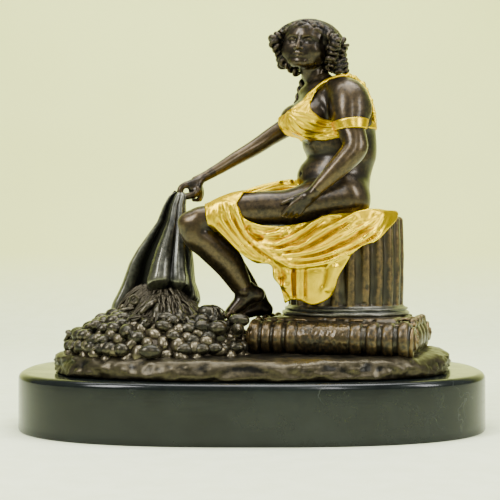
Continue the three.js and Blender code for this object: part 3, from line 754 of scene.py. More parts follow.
def head_tools(clay, wide=1.0, tall=1.0, gap=None):
    """Lump and strand for places on the head, which may be drawn wider or taller."""

    def lump(right, out, up, radii, k=1.5, cut=False):
        if not np.isscalar(radii):
            radii = (radii[0] * wide, radii[1], radii[2] * tall)
        clay.lump(on_head(right * wide, out, up * tall), radii, HEAD_AXES, k, cut)

    def strand(rows, k, cut=False):
        rows = [(*on_head(right * wide, out, up * tall), size) for right, out, up, size in rows]
        clay.strand(rows, k=k, cut=cut, gap=gap)

    return lump, strand


def build_head():
    """A plain face with regular features, and the neck."""
    clay = Clay(HEAD + (-24, -24, -27), HEAD + (26, 24, 19), 0.4)
    lump, strand = head_tools(clay, wide=1.32, tall=0.95)
    # Skull, cheeks and chin, then brows, eyes with their lids, nostrils, nose and mouth
    lump(0, -1.5, 3.5, (11.6, 13.8, 12.4))
    lump(0, 3.4, -4.4, (10, 9, 11.6), 4)
    lump(0, 4.4, 5.8, (9.8, 8.2, 8), 4)
    for s in (-1, 1):
        strand([(9.8 * s, -1, -5, 3), (8.4 * s, 1.6, -10.4, 3.4), (3 * s, 8.2, -14.4, 3)], 5)
        lump(5.9 * s, 6.6, -6, (4.6, 4.4, 5.4), 4.5)
        strand([(8.3 * s, 8.4, 1.9, 1.0), (5.2 * s, 10.8, 3.7, 1.0), (1.9 * s, 11.9, 3.5, 0.9)], 2.6)
        lump(4.6 * s, 12.7, 0.3, (3.0, 2.1, 2.1), 1.8, True)
        lump(4.4 * s, 9.1, 0.0, (2.3, 2.6, 2.6), 0.3)
        strand([(7.2 * s, 9.6, -0.3, 0.4), (4.6 * s, 11.75, 1.5, 0.5), (2.1 * s, 11.1, 0.0, 0.4)], 0.5)
        strand([(6.9 * s, 9.6, -0.4, 0.35), (4.6 * s, 11.3, -1.35, 0.42), (2.3 * s, 10.9, -0.5, 0.35)], 0.5)
        lump(1.6 * s, 13.3, -5.3, (1.15, 1.4, 1.05), 0.8)
        lump(1.0 * s, 14.2, -6.2, (0.35, 0.5, 0.3), 0.4, True)
    lump(0, 10.2, -14.2, (3.4, 2.7, 2.7), 3)
    strand([(0, 11.6, 3.2, 1.3), (0, 12.7, 0.2, 1.25), (0, 14.2, -2.6, 1.4), (0, 15.1, -4.9, 1.65)], 1.2)
    lump(0, 11.0, -9.4, (4, 2.2, 2.6), 2)
    lump(0, 11.3, -7.3, (3.0, 1.7, 1.7), 2)
    lips = [
        (-3.5, 11.5, -8.8, 0.4), (-1.1, 13.1, -8.4, 0.8), (0, 13.1, -8.65, 0.75), (1.1, 13.1, -8.4, 0.8),
        (3.5, 11.5, -8.8, 0.4),
    ]
    strand(lips, 0.6)
    strand([(-2.5, 11.8, -9.9, 0.5), (0, 12.9, -10.4, 1.05), (2.5, 11.8, -9.9, 0.5)], 0.6)
    strand([(-3.6, 12.0, -9.0, 0.22), (0, 13.7, -9.45, 0.3), (3.6, 12.0, -9.0, 0.22)], 0.3, True)
    # Neck
    clay.strand([(46, -1, 223, 9.4), (43, -2.4, 229.5, 8.2), (39.6, -3.8, 236, 7.6), (37.6, -4, 245, 7.6)], k=3)
    clay.strand([(49, -6, 240, 2.2), (43, -9, 231, 2), (37.4, -7, 223.6, 1.7)], k=3)
    return clay_piece("figure_head", clay, BRONZE, passes=12, share=0.7)


def build_hair():
    """Hair parted in the middle, waved at the brow and hanging in ringlets."""
    clay = Clay(HEAD + (-32, -30, -42), HEAD + (36, 34, 18.6), 0.52)

    lump, strand = head_tools(clay, gap=0.6)
    # The crown, combed from the middle to the sides, fuller over the ears
    lump(0, -4.6, 3.4, (17.4, 14.8, 12.2))
    for s in (-1, 1):
        lump(12.2 * s, -5, 3.2, (7.2, 10.6, 8), k=4)
    for i in range(22):
        o = 8.3 - i * 1.25
        rise = 13.6 * math.sqrt(max(0.05, 1 - ((o + 4.6) / 16) ** 2))
        for s in (-1, 1):
            rows = []
            for t in np.linspace(0.03, 1.35, 9):
                wave = 0.7 * math.sin(t * 6 + i * 0.9) + 0.3 * math.sin(t * 13 + i * 2.1)
                rows.append((
                    s * (20 * math.sin(t)), o + wave - 2.2 * t, 3.2 + rise * max(math.cos(t), 0) ** 0.85,
                    0.5 + 0.25 * chance(i + 5),
                ))
            strand(rows, 0.3)
    # Waves that sweep back from the brow
    for s in (-1, 1):
        for j, (lift, push) in enumerate([(0, 0), (1.7, -1.2), (3.2, -2.6), (4.4, -4.4)]):
            rows = []
            for n in range(12):
                t = n / 11
                a = 0.05 + 1.42 * t
                rows.append((
                    s * (16.4 * math.sin(a) + 0.3 + 2.6 * t),
                    11.3 * math.cos(a) ** 0.9 + push - 2.4 * t + 0.9 * math.sin(n * 1.7 + j * 2 + s),
                    8.8 + lift - 7.6 * t**1.7 + 0.9 * math.sin(n * 1.9 + j * 2.6),
                    1.25 + 0.35 * math.sin(n * 2.7 + j),
                ))
            strand(rows, 0.5)

    def ringlet(start, middle, end, size=1.5, swing=1.5, pitch=3.6, spin=0.0):
        """A loose curl that hangs through three places on the head, no two alike."""
        line = flow([(*on_head(*p), 0) for p in (start, middle, end)], 0.5)[:, :3]
        along = np.gradient(line, axis=0)
        along /= np.linalg.norm(along, axis=1)[:, None]
        u = np.cross(along, (0.3, 0.9, 0.1))
        u /= np.linalg.norm(u, axis=1)[:, None]
        v = np.cross(along, u)
        share = np.linspace(0, 1, len(line))
        turn = spin + share * len(line) * 0.5 / pitch * FULL_TURN + 0.9 * np.sin(share * 5 + spin * 3)
        girth = 0.7 + 0.5 * np.sin(share * math.pi + 0.5 * math.sin(spin))
        path = line + (u * np.cos(turn)[:, None] + v * np.sin(turn)[:, None]) * (swing * girth)[:, None]
        rows = np.column_stack([path, size * girth * (1 + 0.2 * np.sin(share * 17 + spin))])
        clay.strand(rows, k=0.3, gap=0.7)

    # Bunches of ringlets at both sides and down the nape
    k = 0
    for s in (-1, 1):
        for ring, (top, mid, low, out) in enumerate([(7, -1, -7, 23.6), (6, -4, -13, 21), (1, -9, -17.5, 18)]):
            for step in range(5):
                k += 1
                a = math.radians(-26 + step * 31 + ring * 9)
                c, d = math.cos(a), math.sin(a)
                wide = out + (3.0 if s > 0 else -0.6) + 2.4 * (chance(k) - 0.5)
                lift = 2.4 * (chance(k + 70) - 0.5)
                ringlet(
                    (s * 15 * c, -13 * d - 1, top - step * 0.8),
                    (s * wide * c, -wide * 0.86 * d - 0.5, mid - step * 0.5 + lift),
                    (s * (wide - 3.4) * c, -(wide - 4.5) * 0.86 * d + 1.0, low + 3 * chance(k + 9)),
                    spin=chance(k + 30) * 6,
                    size=1.05 + 0.5 * chance(k + 50),
                    swing=1.5 + 0.8 * chance(k + 60),
                    pitch=2.9 + 1.4 * chance(k + 80),
                )
    for step in range(6):
        a = math.radians(-60 + 24 * step)
        ringlet(
            (13.5 * math.sin(a), -14.5 * math.cos(a), 3),
            (15.5 * math.sin(a), -18 * math.cos(a), -7),
            (11.5 * math.sin(a) + 2, -14 * math.cos(a), -19 - 2 * chance(step)),
            spin=step,
        )
    # The near side falls to the shoulder
    for i in range(7):
        r, o = 16 + 1.6 * i, -2 - 2.2 * (i % 4)
        ringlet(
            (r - 2, o, -6), (r, o - 1, -12), (r + 0.6, o - 1, -17.4 + chance(i + 11)), spin=i * 1.3,
            size=1.35 + 0.4 * chance(i),
        )
    ringlet((22, -10, -10), (25.4, -11, -15), (27.6, -11, -18.6), spin=1)
    # Curls that show beneath the far cheek, and a long lock on the breast
    ringlet((-13, 2, -8), (-13.5, 5, -13), (-9, 6, -17.5), spin=2)
    ringlet((-10, 0, -12), (-8, 2, -17), (-3.5, 1, -20.5), spin=4, size=1.35)
    rows = [(36.6, 3, 233), (33.6, 4, 226), (31.4, 4.5, 219), (29.4, 4.5, 212.5)]
    path = flow([(*p, 0) for p in rows], 0.5)[:, :3]
    share = np.linspace(0, 1, len(path))
    for phase in (0.0, math.pi):
        turn = share * 14 + phase
        swing = 1.5 * (1 - 0.5 * share)
        lock = path + np.column_stack([np.cos(turn) * swing, np.sin(turn) * swing, 0 * turn])
        clay.strand(np.column_stack([lock, 1.9 - 0.8 * share]), k=0.4)
    return clay_piece("hair", clay, HAIR_BRONZE, passes=6)


# Cloth drawn as seen from the side: an outline in x and z, a depth, and folds laid along lines
def outline_distance(corners, x, z):
    """Signed distance to a closed outline, below zero inside."""
    corners = np.asarray(corners, float)
    best = np.full(np.broadcast(x, z).shape, 1e9)
    inside = np.zeros(best.shape, bool)
    for (ax, az), (bx, bz) in zip(corners, np.roll(corners, -1, axis=0)):
        ex, ez = bx - ax, bz - az
        px, pz = x - ax, z - az
        t = np.clip((px * ex + pz * ez) / (ex * ex + ez * ez), 0, 1)
        best = np.minimum(best, (px - t * ex) ** 2 + (pz - t * ez) ** 2)
        crosses = ((az > z) != (bz > z)) & (x < ex * (z - az) / (ez if abs(ez) > 1e-9 else 1e-9) + ax)
        inside ^= crosses
    return np.where(inside, -1, 1) * np.sqrt(best)


def line_distance(points, x, z):
    """Distance to an open line, and how far along it the nearest place is, from 0 to 1."""
    points = np.asarray(points, float)
    best = np.full(np.broadcast(x, z).shape, 1e9)
    share = np.zeros(best.shape)
    count = len(points) - 1
    for i in range(count):
        (ax, az), (bx, bz) = points[i], points[i + 1]
        ex, ez = bx - ax, bz - az
        t = np.clip(((x - ax) * ex + (z - az) * ez) / (ex * ex + ez * ez + 1e-9), 0, 1)
        d = (x - ax - t * ex) ** 2 + (z - az - t * ez) ** 2
        share = np.where(d < best, (i + t) / count, share)
        best = np.minimum(best, d)
    return np.sqrt(best), share


def spread_depth(anchors, x, z):
    """A smooth surface through anchors of x, z and depth."""
    a = np.asarray(anchors, float)

    def bend(r2):
        return 0.5 * r2 * np.log(r2 + 1e-6)

    d2 = (a[:, None, 0] - a[None, :, 0]) ** 2 + (a[:, None, 1] - a[None, :, 1]) ** 2
    n = len(a)
    system = np.zeros((n + 3, n + 3))
    system[:n, :n] = bend(d2) + np.eye(n) * 8.0
    system[:n, n:] = np.column_stack([np.ones(n), a[:, :2]])
    system[n:, :n] = system[:n, n:].T
    weights = np.linalg.solve(system, np.concatenate([a[:, 2], np.zeros(3)]))
    out = weights[n] + weights[n + 1] * x + weights[n + 2] * z
    for i in range(n):
        out = out + weights[i] * bend((x - a[i, 0]) ** 2 + (z - a[i, 1]) ** 2)
    return out


def smooth_line(points, gap=2.0):
    return flow([(x, 0.0, z) for x, z in points], gap)[:, [0, 2]]


def hang_cloth(clay, outline, anchors, folds, facing=-1, thickness=1.7, k=1.6):
    """Adds a sheet of cloth to the clay. Each fold is (height, width, points)."""
    corners = smooth_line(list(outline) + [outline[0]], 2.0)[:-1]
    low = (corners[:, 0].min() - 6, -70, corners[:, 1].min() - 6)
    high = (corners[:, 0].max() + 6, 70, corners[:, 1].max() + 6)
    where, x, y, z = clay.near(low, high)
    x2, z2 = x[:, 0], z[0]
    edge = outline_distance(corners, x2, z2)
    depth = spread_depth(anchors, x2, z2)
    for height, width, points in folds:
        d, share = line_distance(smooth_line(points), x2, z2)
        taper = np.clip(np.minimum(share, 1 - share) * 5 + 0.25, 0, 1)
        depth = depth + facing * height * taper * np.exp(-((d / width) ** 2))
    depth[1:-1] = (depth[:-2] + 2 * depth[1:-1] + depth[2:]) / 4
    depth[:, 1:-1] = (depth[:, :-2] + 2 * depth[:, 1:-1] + depth[:, 2:]) / 4
    gx, gz = np.gradient(depth, clay.step)
    slope = np.sqrt(1 + gx**2 + gz**2)
    sheet = (np.abs(y - depth[:, None, :]) / slope[:, None, :] - thickness / 2).astype(np.float32)
    rim = edge[:, None, :] + thickness * 0.3
    shape = -soft_min(-sheet, -rim, 1.0)
    clay.join(where, shape, k)


def near_window(clay, part):
    """Where a smaller block of clay with the same step lies within a larger one."""
    start = np.round((part.low - clay.low) / clay.step).astype(int)
    return tuple(slice(a, a + n) for a, n in zip(start, part.field.shape))


def drape_near_knee(clay):
    """Cloth drawn close over the near thigh and knee, cut in an arch where the thigh comes out bare."""
    near = Clay((-34, -54, 110), (70, -9, 170), 0.66)
    near.strand([r for r in NEAR_LEG if r[2] > 121], k=4, grow=1.5)
    for shift in range(10):
        x = -27 + shift * 3.1 + chance(shift) * 1.4
        rows = []
        for a in np.linspace(-1.9, 0.8, 10):
            at = x + 3.4 * a + 3 + 0.7 * math.sin(a * 2 + shift)
            y, z, r = leg_at(NEAR_LEG, at)
            r += 1.2
            rows.append((at, y + r * math.sin(a), z + r * math.cos(a), 0.55 + 0.45 * chance(shift + 40)))
        near.strand(rows, k=1.3)
    near.keep_inside([
        (-30.4, 144), (-29.6, 138), (-28.1, 131.4), (-24, 127), (-18, 122), (-11, 127), (-7.6, 134), (-10, 143),
        (-9, 146.4), (-4.4, 152.6), (4.8, 154.8), (16, 156.4), (12, 164), (-10, 164), (-26, 158), (-31, 150),
    ])
    clay.field[near_window(clay, near)] = soft_min(clay.field[near_window(clay, near)], near.field, 1.2)


def drape_far_knee(clay):
    """Cloth over the far thigh and knee, and between the knees."""
    clay.strand([
        (52, 13, 149, 17), (38, 14.5, 148, 15.8), (18, 15, 145.6, 14.4), (-4, 14.2, 142.4, 12.8),
        (-20, 14, 137.6, 10.8), (-28, 13, 132, 10.2), (-27.6, 12.4, 125, 9.8),
    ], k=2)
    clay.strand([
        (-18, -8, 142.4, 8, 3.2), (-2, -6, 146.6, 9.4, 4), (16, -4, 149.4, 9.6, 4.4), (28, -2, 151.6, 9, 4.6),
    ], k=3)


def drape_swag(clay):
    """The swag from the knee to the drum, and the tail that hangs in front of the drum."""
    outline = [
        (-28.4, 141.4), (-28.6, 136.5), (-26, 131.4), (-18, 123.3), (-4.3, 110.3), (2, 106.5), (11.8, 105),
        (13, 97.5), (17, 92.4), (18.8, 87), (21, 80.8), (24, 83), (31.6, 82.4), (37.2, 80.2), (44.5, 81.8),
        (49.6, 85), (52.8, 91), (55, 98.3), (58.6, 104.4), (64, 112.8), (72.4, 118.4), (77, 119.4), (81, 121.8),
        (87.6, 128.2), (95.2, 136.6), (96, 139.6), (90, 141.8), (84, 141.4), (77.2, 142.2), (66.8, 140.8),
        (60, 138.6), (47.5, 138.2), (38, 134.6), (28, 132.4), (15.3, 131.2), (3.3, 132.6), (-5, 136.8), (-8.4, 144),
        (-16, 147), (-24, 146),
    ]
    anchors = [
        (-28, 140, -30.5), (-21, 128, -33.5), (-12, 142, -36.2), (-8, 130, -36.2), (-5, 113, -36.5), (3, 132, -34.6),
        (10, 108, -39.5), (16, 131, -34.2), (30, 132, -35), (20, 118, -41), (35, 106, -44.5), (20, 86, -41.5),
        (35, 83, -43.5), (49, 90, -43), (48, 137, -37.5), (50, 116, -44), (62, 138, -38), (65, 120, -41.5),
        (77, 141, -34), (77, 123, -38.5), (84, 140, -30), (84, 128, -33.6), (95, 138, -21), (91, 133, -26.5),
    ]
    folds = [
        (1.8, 1.7, [(-22, 144.4), (-20, 135.5), (-14.3, 127.4), (-6.2, 117.6), (3.6, 109.5), (12.5, 106.4)]),
        (1.9, 1.4, [(-17.6, 146), (-13.5, 133.9), (-6.2, 122.5), (1.9, 114.4), (12.5, 108.2)]),
        (2.3, 1.6, [
            (-12.7, 146.4), (-9.4, 137.9), (-3.7, 125.7), (4.4, 117.6), (15.7, 109.5), (23.8, 105.4), (32.8, 104.2),
        ]),
        (1.4, 1.3, [(-26, 142), (-25.4, 134.5), (-19.2, 127.4), (-10.3, 117), (1.1, 108.6)]),
        (-1.9, 1.15, [(-15.4, 144), (-11.3, 134), (-5, 123.5), (3, 115.6), (13, 108.4)]),
        (-1.6, 1.15, [(-19.6, 143), (-16.5, 134.5), (-10.5, 125), (-2.2, 115.8), (6, 109.3)]),
        (-1.3, 1.15, [(-24, 141), (-22.4, 134), (-16.6, 126), (-8, 116.6), (1.6, 109.2)]),
        (-3.6, 3.2, [(-4, 131), (0.5, 125), (8, 121.8)]),
        (1.5, 1.3, [(-3, 128.5), (5.2, 126), (12.4, 125.4), (18.9, 127.4), (21.3, 129.8)]),
        (-1.3, 1.15, [(2, 128.6), (10, 127.4), (17, 129)]),
        (2.1, 1.5, [(3.5, 121), (13.2, 118.6), (23.7, 122.4), (31.8, 127.2), (39.8, 132.9), (44.7, 136.1)]),
        (-1.9, 1.15, [(6, 119), (15, 116.8), (26, 119.8), (35.6, 125.6), (45, 132.8)]),
        (-1.1, 1.15, [(12, 122.4), (21, 123.6), (29, 128.6), (35, 132.4)]),
        (2.2, 1.5, [(7, 116.8), (17.2, 115), (28.5, 117.2), (39.7, 123.6), (51, 130.4), (62.2, 136.6)]),
        (-1.9, 1.15, [(14, 114), (26, 114.4), (40, 119.6), (53, 127.4), (66, 136)]),
        (2.2, 1.5, [
            (14.4, 113.4), (23.6, 111.8), (35.6, 113), (47.7, 117.5), (55.7, 122.2), (71.8, 131.2), (79.8, 136.2),
        ]),
        (-1.8, 1.15, [(20, 110.6), (33, 111), (46, 114.2), (60, 120.6), (74, 130)]),
        (2.2, 1.4, [
            (19, 109), (31.6, 108.8), (44.5, 110.6), (58.1, 115.9), (71.8, 123.2), (82.2, 131.2), (84.4, 137),
        ]),
        (-1.9, 1.15, [(26, 106.8), (38, 108), (50, 111), (62, 115.8), (76, 123), (83, 130)]),
        (1.9, 1.3, [
            (25, 105), (36.4, 105.8), (47.7, 107.9), (58.1, 113), (65, 115), (73, 119.8), (78, 122.6), (84.4, 130),
            (88, 136),
        ]),
        (1.5, 1.3, [(72, 125), (78, 129), (83, 135), (85, 139)]),
        (-1.3, 1.15, [(66, 130.5), (74, 134), (80, 139)]),
        (-1.1, 1.15, [(48, 134.6), (56, 136.4), (64, 139.4)]),
        (1.8, 1.4, [(14.8, 103), (15.4, 97), (17.6, 91), (20.6, 84)]),
        (-1.6, 1.2, [(17.2, 104), (19.4, 98), (18, 92), (22, 86)]),
        (1.5, 1.3, [(20, 105), (22.4, 99.6), (20.8, 94), (23, 87)]),
        (-1.3, 1.1, [(15, 99.4), (18.6, 97.4), (22.6, 98.4)]),
        (1.3, 1.2, [(16.6, 94.6), (20, 92.6), (24, 93.4)]),
        (1.7, 1.2, [(23.8, 105), (23.6, 97), (24.2, 90), (25, 84)]),
        (-2.6, 1.5, [(26.6, 104), (26.4, 94), (27, 84)]),
        (1.8, 1.1, [(29, 104), (28.8, 94), (28.8, 84)]),
        (-0.8, 1.15, [(30.4, 104), (30.2, 94), (30.2, 84)]),
        (1.5, 1.1, [(31.8, 104.6), (31.6, 94), (31.6, 83)]),
        (-1.9, 1.2, [(33.6, 105), (33.4, 94), (33.6, 84)]),
        (0.8, 3.6, [(39, 104), (38.4, 95), (38, 85)]),
        (-1.2, 1.6, [(46.6, 106.6), (45.6, 98), (43, 90)]),
        (2.0, 3.0, [(51.4, 108), (49.6, 98), (46.4, 88)]),
    ]
    # Small irregular wrinkles between the long folds
    for i in range(26):
        x, z = 76 * chance(i), 108 + 26 * chance(i + 100)
        z = min(z, 106 + 0.42 * x + 14) if x < 30 else z
        lean = 0.35 + 0.35 * chance(i + 200)
        size = 3 + 4 * chance(i + 300)
        high = 0.8 * (1 if i % 2 else -1)
        folds.append((high, 1.4, [(x - size, z - size * lean), (x, z + 0.5), (x + size, z + size * lean)]))
    hang_cloth(clay, outline, anchors, folds, thickness=1.9)


def drape_far_side(clay):
    """The far side, plainer."""
    outline = [
        (-30, 145), (-31, 127), (-20, 119), (-2, 112), (16, 106), (34, 103), (52, 104), (68, 108), (80, 122),
        (88, 134), (90, 141), (78, 143), (60, 146), (36, 156), (10, 153), (-14, 150),
    ]
    anchors = [
        (-30, 138, 23.6), (-20, 122, 25), (-10, 144, 27.6), (0, 114, 31), (10, 148, 30.4), (20, 108, 37.6),
        (34, 150, 32.6), (36, 104, 42.4), (52, 105, 45), (56, 142, 38), (68, 110, 44), (72, 141, 37.4),
        (82, 126, 37.6), (84, 140, 31), (89, 137, 25),
    ]
    folds = []
    for i in range(6):
        top = -24 + i * 21
        low = -22 + i * 16
        middle = top * 0.5 + low * 0.5
        folds.append((1.9, 2.0, [(top, 144 - i), (middle + 3, 128), (low + 6, 108)]))
        folds.append((-2.0, 1.4, [(top + 8, 144 - i), (middle + 10, 127), (low + 13, 107)]))
        folds.append((1.3, 1.2, [(top + 12, 142 - i), (middle + 13, 128), (low + 16, 110)]))
    folds.append((2.0, 2.0, [(-24, 126), (0, 120), (24, 116), (48, 117), (70, 124), (84, 135)]))
    folds.append((2.0, 2.0, [(-10, 118), (14, 111), (38, 108), (60, 110), (78, 123)]))
    hang_cloth(clay, outline, anchors, folds, facing=1, thickness=2.0)


def drape_seat(clay):
    """Cloth on the seat behind her, short of the rim of the drum at the right."""
    seat = np.array([COLUMN[0], COLUMN[1], SEAT + 0.6])
    clay.lump(seat, (34, 35, 2.4), k=1.5)
    rim = []
    for a in np.linspace(-1.15, 2.4, 24):
        r = 33 + 0.7 * math.sin(a * 9) + (2.4 if a > 1.0 else 0)
        z = 139.6 + 0.8 * math.sin(a * 7 + 1)
        rim.append((seat[0] + r * math.cos(a), seat[1] + r * math.sin(a), z, 2.0, 1.8))
    clay.strand(rim, k=1.4, side=(0, 0, 1))
    for a in np.linspace(-0.9, 2.2, 9):
        c, s = math.cos(a), math.sin(a)
        fold = ((18, 141), (26, 141.2), (33.4, 140.4))
        clay.strand([(seat[0] + r * c, seat[1] + r * s, z, 1.2) for r, z in fold], k=1.4)
    clay.strand([(74, -31, 140.6, 1.4), (82, -27.6, 140.4, 1.5), (89, -21, 139.6, 1.5), (95, -13, 138.6, 1.3)], k=1)
    clay.strand([(80, -8, 140.4, 1.2), (88, -7, 140, 1.3), (95.6, -9.6, 138.8, 1.2)], k=1)
    clay.lump((85, -17, 143), (7.4, 6, 4.2), turned(30), k=1.2, cut=True)


def gather_lap(clay):
    """Small bunched folds over the lap and the top of the far thigh."""
    for rows in (
        [(34, 1, 160.6, 2), (26, 2, 159.8, 2.4), (18, -1, 158.4, 2.2), (8, -6, 155.4, 1.8), (0, -10, 152.6, 1.5)],
        [(32, 8, 162.4, 1.7), (24, 9, 161.6, 2), (14, 8, 159.6, 2), (2, 5, 156.6, 1.7), (-8, 3, 153, 1.4)],
        [(30, -5, 157.6, 1.5), (22, -6, 157, 1.7), (12, -10, 154.8, 1.6), (4, -14, 152.6, 1.4)],
        [(22, 13, 161, 1.4), (8, 15, 157.8, 1.5), (-8, 16, 153.6, 1.4), (-22, 17, 148.6, 1.3)],
        [(36, -9, 156.6, 1.3), (28, -11, 155.4, 1.4), (19, -14, 153.4, 1.3), (11, -17, 152, 1.1)],
    ):
        clay.strand(rows, k=1.0)
    for rows in (
        [(29, -2, 162.6, 0.9), (21, -3.6, 161.4, 1.1), (12, -7.6, 158.6, 0.9)],
        [(30, 5, 164, 0.9), (21, 5.4, 163, 1.1), (8, 1.6, 159.4, 0.9)],
    ):
        clay.strand(rows, k=0.8, cut=True)
    # Two hollows where the cloth falls open on the lap and the bronze shows
    clay.lump((22, 2, 162), (4.2, 7, 2.6), turned(0, -20), k=0.8, cut=True)
    clay.lump((30.6, 3, 163), (5, 8, 3.2), turned(0, -30), k=0.8, cut=True)


def fold_far_knee(clay):
    """Folds round the far knee and thigh."""
    for i in range(7):
        x = -22 + i * 9
        rows = []
        for a in np.linspace(-0.7, 1.9, 8):
            at = x + 3 * math.sin(a * 1.3 + i)
            y, z, r = leg_at(FAR_LEG, at)
            r += 1.3
            rows.append((at, y + r * math.sin(a), z + r * math.cos(a), 0.8 + 0.4 * chance(i + 60)))
        clay.strand(rows, k=1.4)


def build_skirt():
    clay = Clay((-34, -54, 76), (102, 52, 170), 0.66)
    for add_cloth in (
        drape_near_knee, drape_far_knee, drape_swag, drape_far_side, drape_seat, gather_lap, fold_far_knee,
    ):
        add_cloth(clay)
    return clay_piece("gilded_skirt", clay, GOLD, passes=8, even=12, share=0.56)


def build_bodice():
    """The gilded bodice, its strap and its folds."""
    clay = Clay((10, -46, 182), (90, 34, 236), 0.56)
    shape_torso(clay, 1.1)
    _, x, y, z = clay.whole()
    near = [
        (61, 231), (52, 228.4), (47.4, 225.6), (40.8, 219.1), (30.3, 210), (23, 205.4), (16, 204), (12, 200),
        (16, 196), (22, 193.6), (26.8, 191.6), (30.3, 189.6), (38, 187.4), (47.8, 186), (57, 188.6), (70, 194),
        (90, 197), (90, 204.6), (70, 203), (60, 200.4), (52, 198.9), (44.3, 200.9), (39, 204.6), (37.4, 208.6),
        (38.4, 214.6), (40.4, 217.6), (43, 219.6), (48, 223), (61, 228),
    ]
    far = [(10, 206), (10, 190), (40, 188), (90, 196.6), (90, 204.8), (50, 204), (30, 207)]
    band, back = (outline_distance(corners, x[:, 0], z[0])[:, None, :] for corners in (near, far))
    share = np.clip((y - 1.0) / 4.0 + 0.5, 0, 1)
    clay.trim(band * (1 - share) + back * share, 0.8)
    # Strap over the shoulder, knotted on top and gathered down the back
    strap = [
        (34.6, -18.6, 213.4, 2.6, 1.2), (38, -17.7, 217.5, 2.5, 1.3), (42.2, -17.8, 221, 2.4, 1.4),
        (46.5, -17.2, 224.6, 2.3, 1.4), (52.4, -13.6, 228, 2.4, 1.5), (58.5, -12.6, 229.6, 2.6, 1.6),
        (64.5, -12.4, 229.4, 2.6, 1.6), (69.5, -13, 226.8, 2.4, 1.6), (74, -13.4, 221.8, 2.1, 1.5),
        (77.3, -13.2, 215, 1.9, 1.4), (79.6, -13.2, 208, 1.8, 1.4), (80.6, -14, 200.5, 1.8, 1.4),
    ]
    clay.strand(strap, k=0.8, side=(0, 1, 0))
    for spot, size in (
        ((63.4, -13.6, 229.8), 2.3), ((67.4, -14, 228.4), 2), ((72.6, -14.4, 224), 2.3), ((75, -14.4, 220.6), 1.7),
        ((78, -14.4, 213.6), 1.7), ((80, -15, 205), 1.7),
    ):
        clay.lump(spot, size, k=0.6)
    for side in (-0.9, 0.9):
        rows = [(x + 0.2, y - 1.0, z + side, 0.5) for x, y, z, _, _ in strap[1:8]]
        clay.strand(rows, k=0.6)
    # Folds
    folds = [
        [(53, 227.6, 0.5), (44, 222.8, 0.7), (38.6, 217, 0.7), (33, 211.6, 0.7), (26, 206.6, 0.6), (20, 203, 0.5)],
        [(42, 219.4, 0.5), (38, 213.6, 0.7), (34.6, 208, 0.7), (31, 203.6, 0.6)],
        [(39.6, 215.6, 0.5), (37, 209, 0.7), (35.6, 204.6, 0.7), (33, 201, 0.6)],
        [(36.8, 213, 0.6), (30, 206.8, 0.7), (23.8, 203, 0.6)],
        [(24, 202.6, 0.7), (31, 196.4, 0.8), (38, 193, 0.9), (47, 192, 0.8), (56, 193.6, 0.6)],
        [(25, 203.4, 0.6), (33, 200, 0.8), (41, 196.6, 0.9), (50, 195.4, 0.7), (58, 196.4, 0.6)],
        [(29, 204.4, 0.7), (36, 203, 0.8), (43, 199.8, 0.8), (52, 198, 0.6)],
        [(24, 200.6, 0.7), (27, 194.6, 0.8), (32.6, 190.4, 0.9), (42, 188.8, 0.9), (56, 189.8, 0.7)],
        [(26, 192.6, 0.6), (34, 189, 0.7), (45, 187.4, 0.8), (57, 188.6, 0.6)],
        [(23.6, 204, 0.8), (23, 199, 0.9), (25.4, 193.4, 0.8)],
        [(21, 203.6, 0.5), (19, 200, 0.7), (20.6, 195.6, 0.6)],
        [(18.6, 203, 0.4), (16.4, 200, 0.6), (17.6, 196.6, 0.5)],
        [(26, 205, 0.5), (28, 199, 0.6), (33, 193.6, 0.6), (40, 190.8, 0.6)],
    ]
    for fold in folds:
        clay.trace(fold, k=0.6, sink=0.1)
    for fold in (
        [(25.6, 201.6, 0.4), (32, 198, 0.6), (40, 194.8, 0.6), (52, 193.8, 0.4)],
        [(27, 198.4, 0.4), (31, 193.6, 0.6), (38, 190.9, 0.6), (52, 191, 0.4)],
        [(42, 219.6, 0.3), (36, 211.4, 0.5), (29, 205.6, 0.5)],
        [(28, 203.6, 0.4), (35, 201.4, 0.5), (44, 197.9, 0.5), (54, 196.8, 0.4)],
        [(38.4, 213, 0.3), (36, 207.6, 0.5), (33.4, 203, 0.4)],
        [(22.2, 203.6, 0.3), (21.2, 199.4, 0.5), (23.2, 194.4, 0.4)],
        [(32, 189.8, 0.3), (44, 188.2, 0.5), (56, 189.2, 0.3)],
    ):
        clay.trace(fold, k=0.4, sink=-0.5, cut=True)
    for z0 in (191.8, 195.4, 199):
        clay.trace([
            (36, z0, 0.9), (50, z0 + 1, 1), (66, z0 + 2.6, 0.9), (82, z0 + 4, 0.7),
        ], k=0.9, sink=0.25, facing=1)
    return clay_piece("gilded_bodice", clay, GOLD, passes=7, even=2)


def build_armband():
    """A flat band round the upper arm, level with the floor."""
    clay = Clay((44, -48, 184), (82, -10, 210), 0.6)
    clay.strand(NEAR_ARM, k=3, grow=1.3)
    band = [(48, 196.4), (53.3, 197.8), (60, 198.9), (68.5, 199.7), (74, 199.4), (80, 199), (80, 192.6)]
    band += [(73, 192.8), (61.2, 192.5), (53.3, 191.4), (48, 190.6)]
    clay.keep_inside(band)
    return clay_piece("gilded_armband", clay, GOLD, passes=5, even=3)


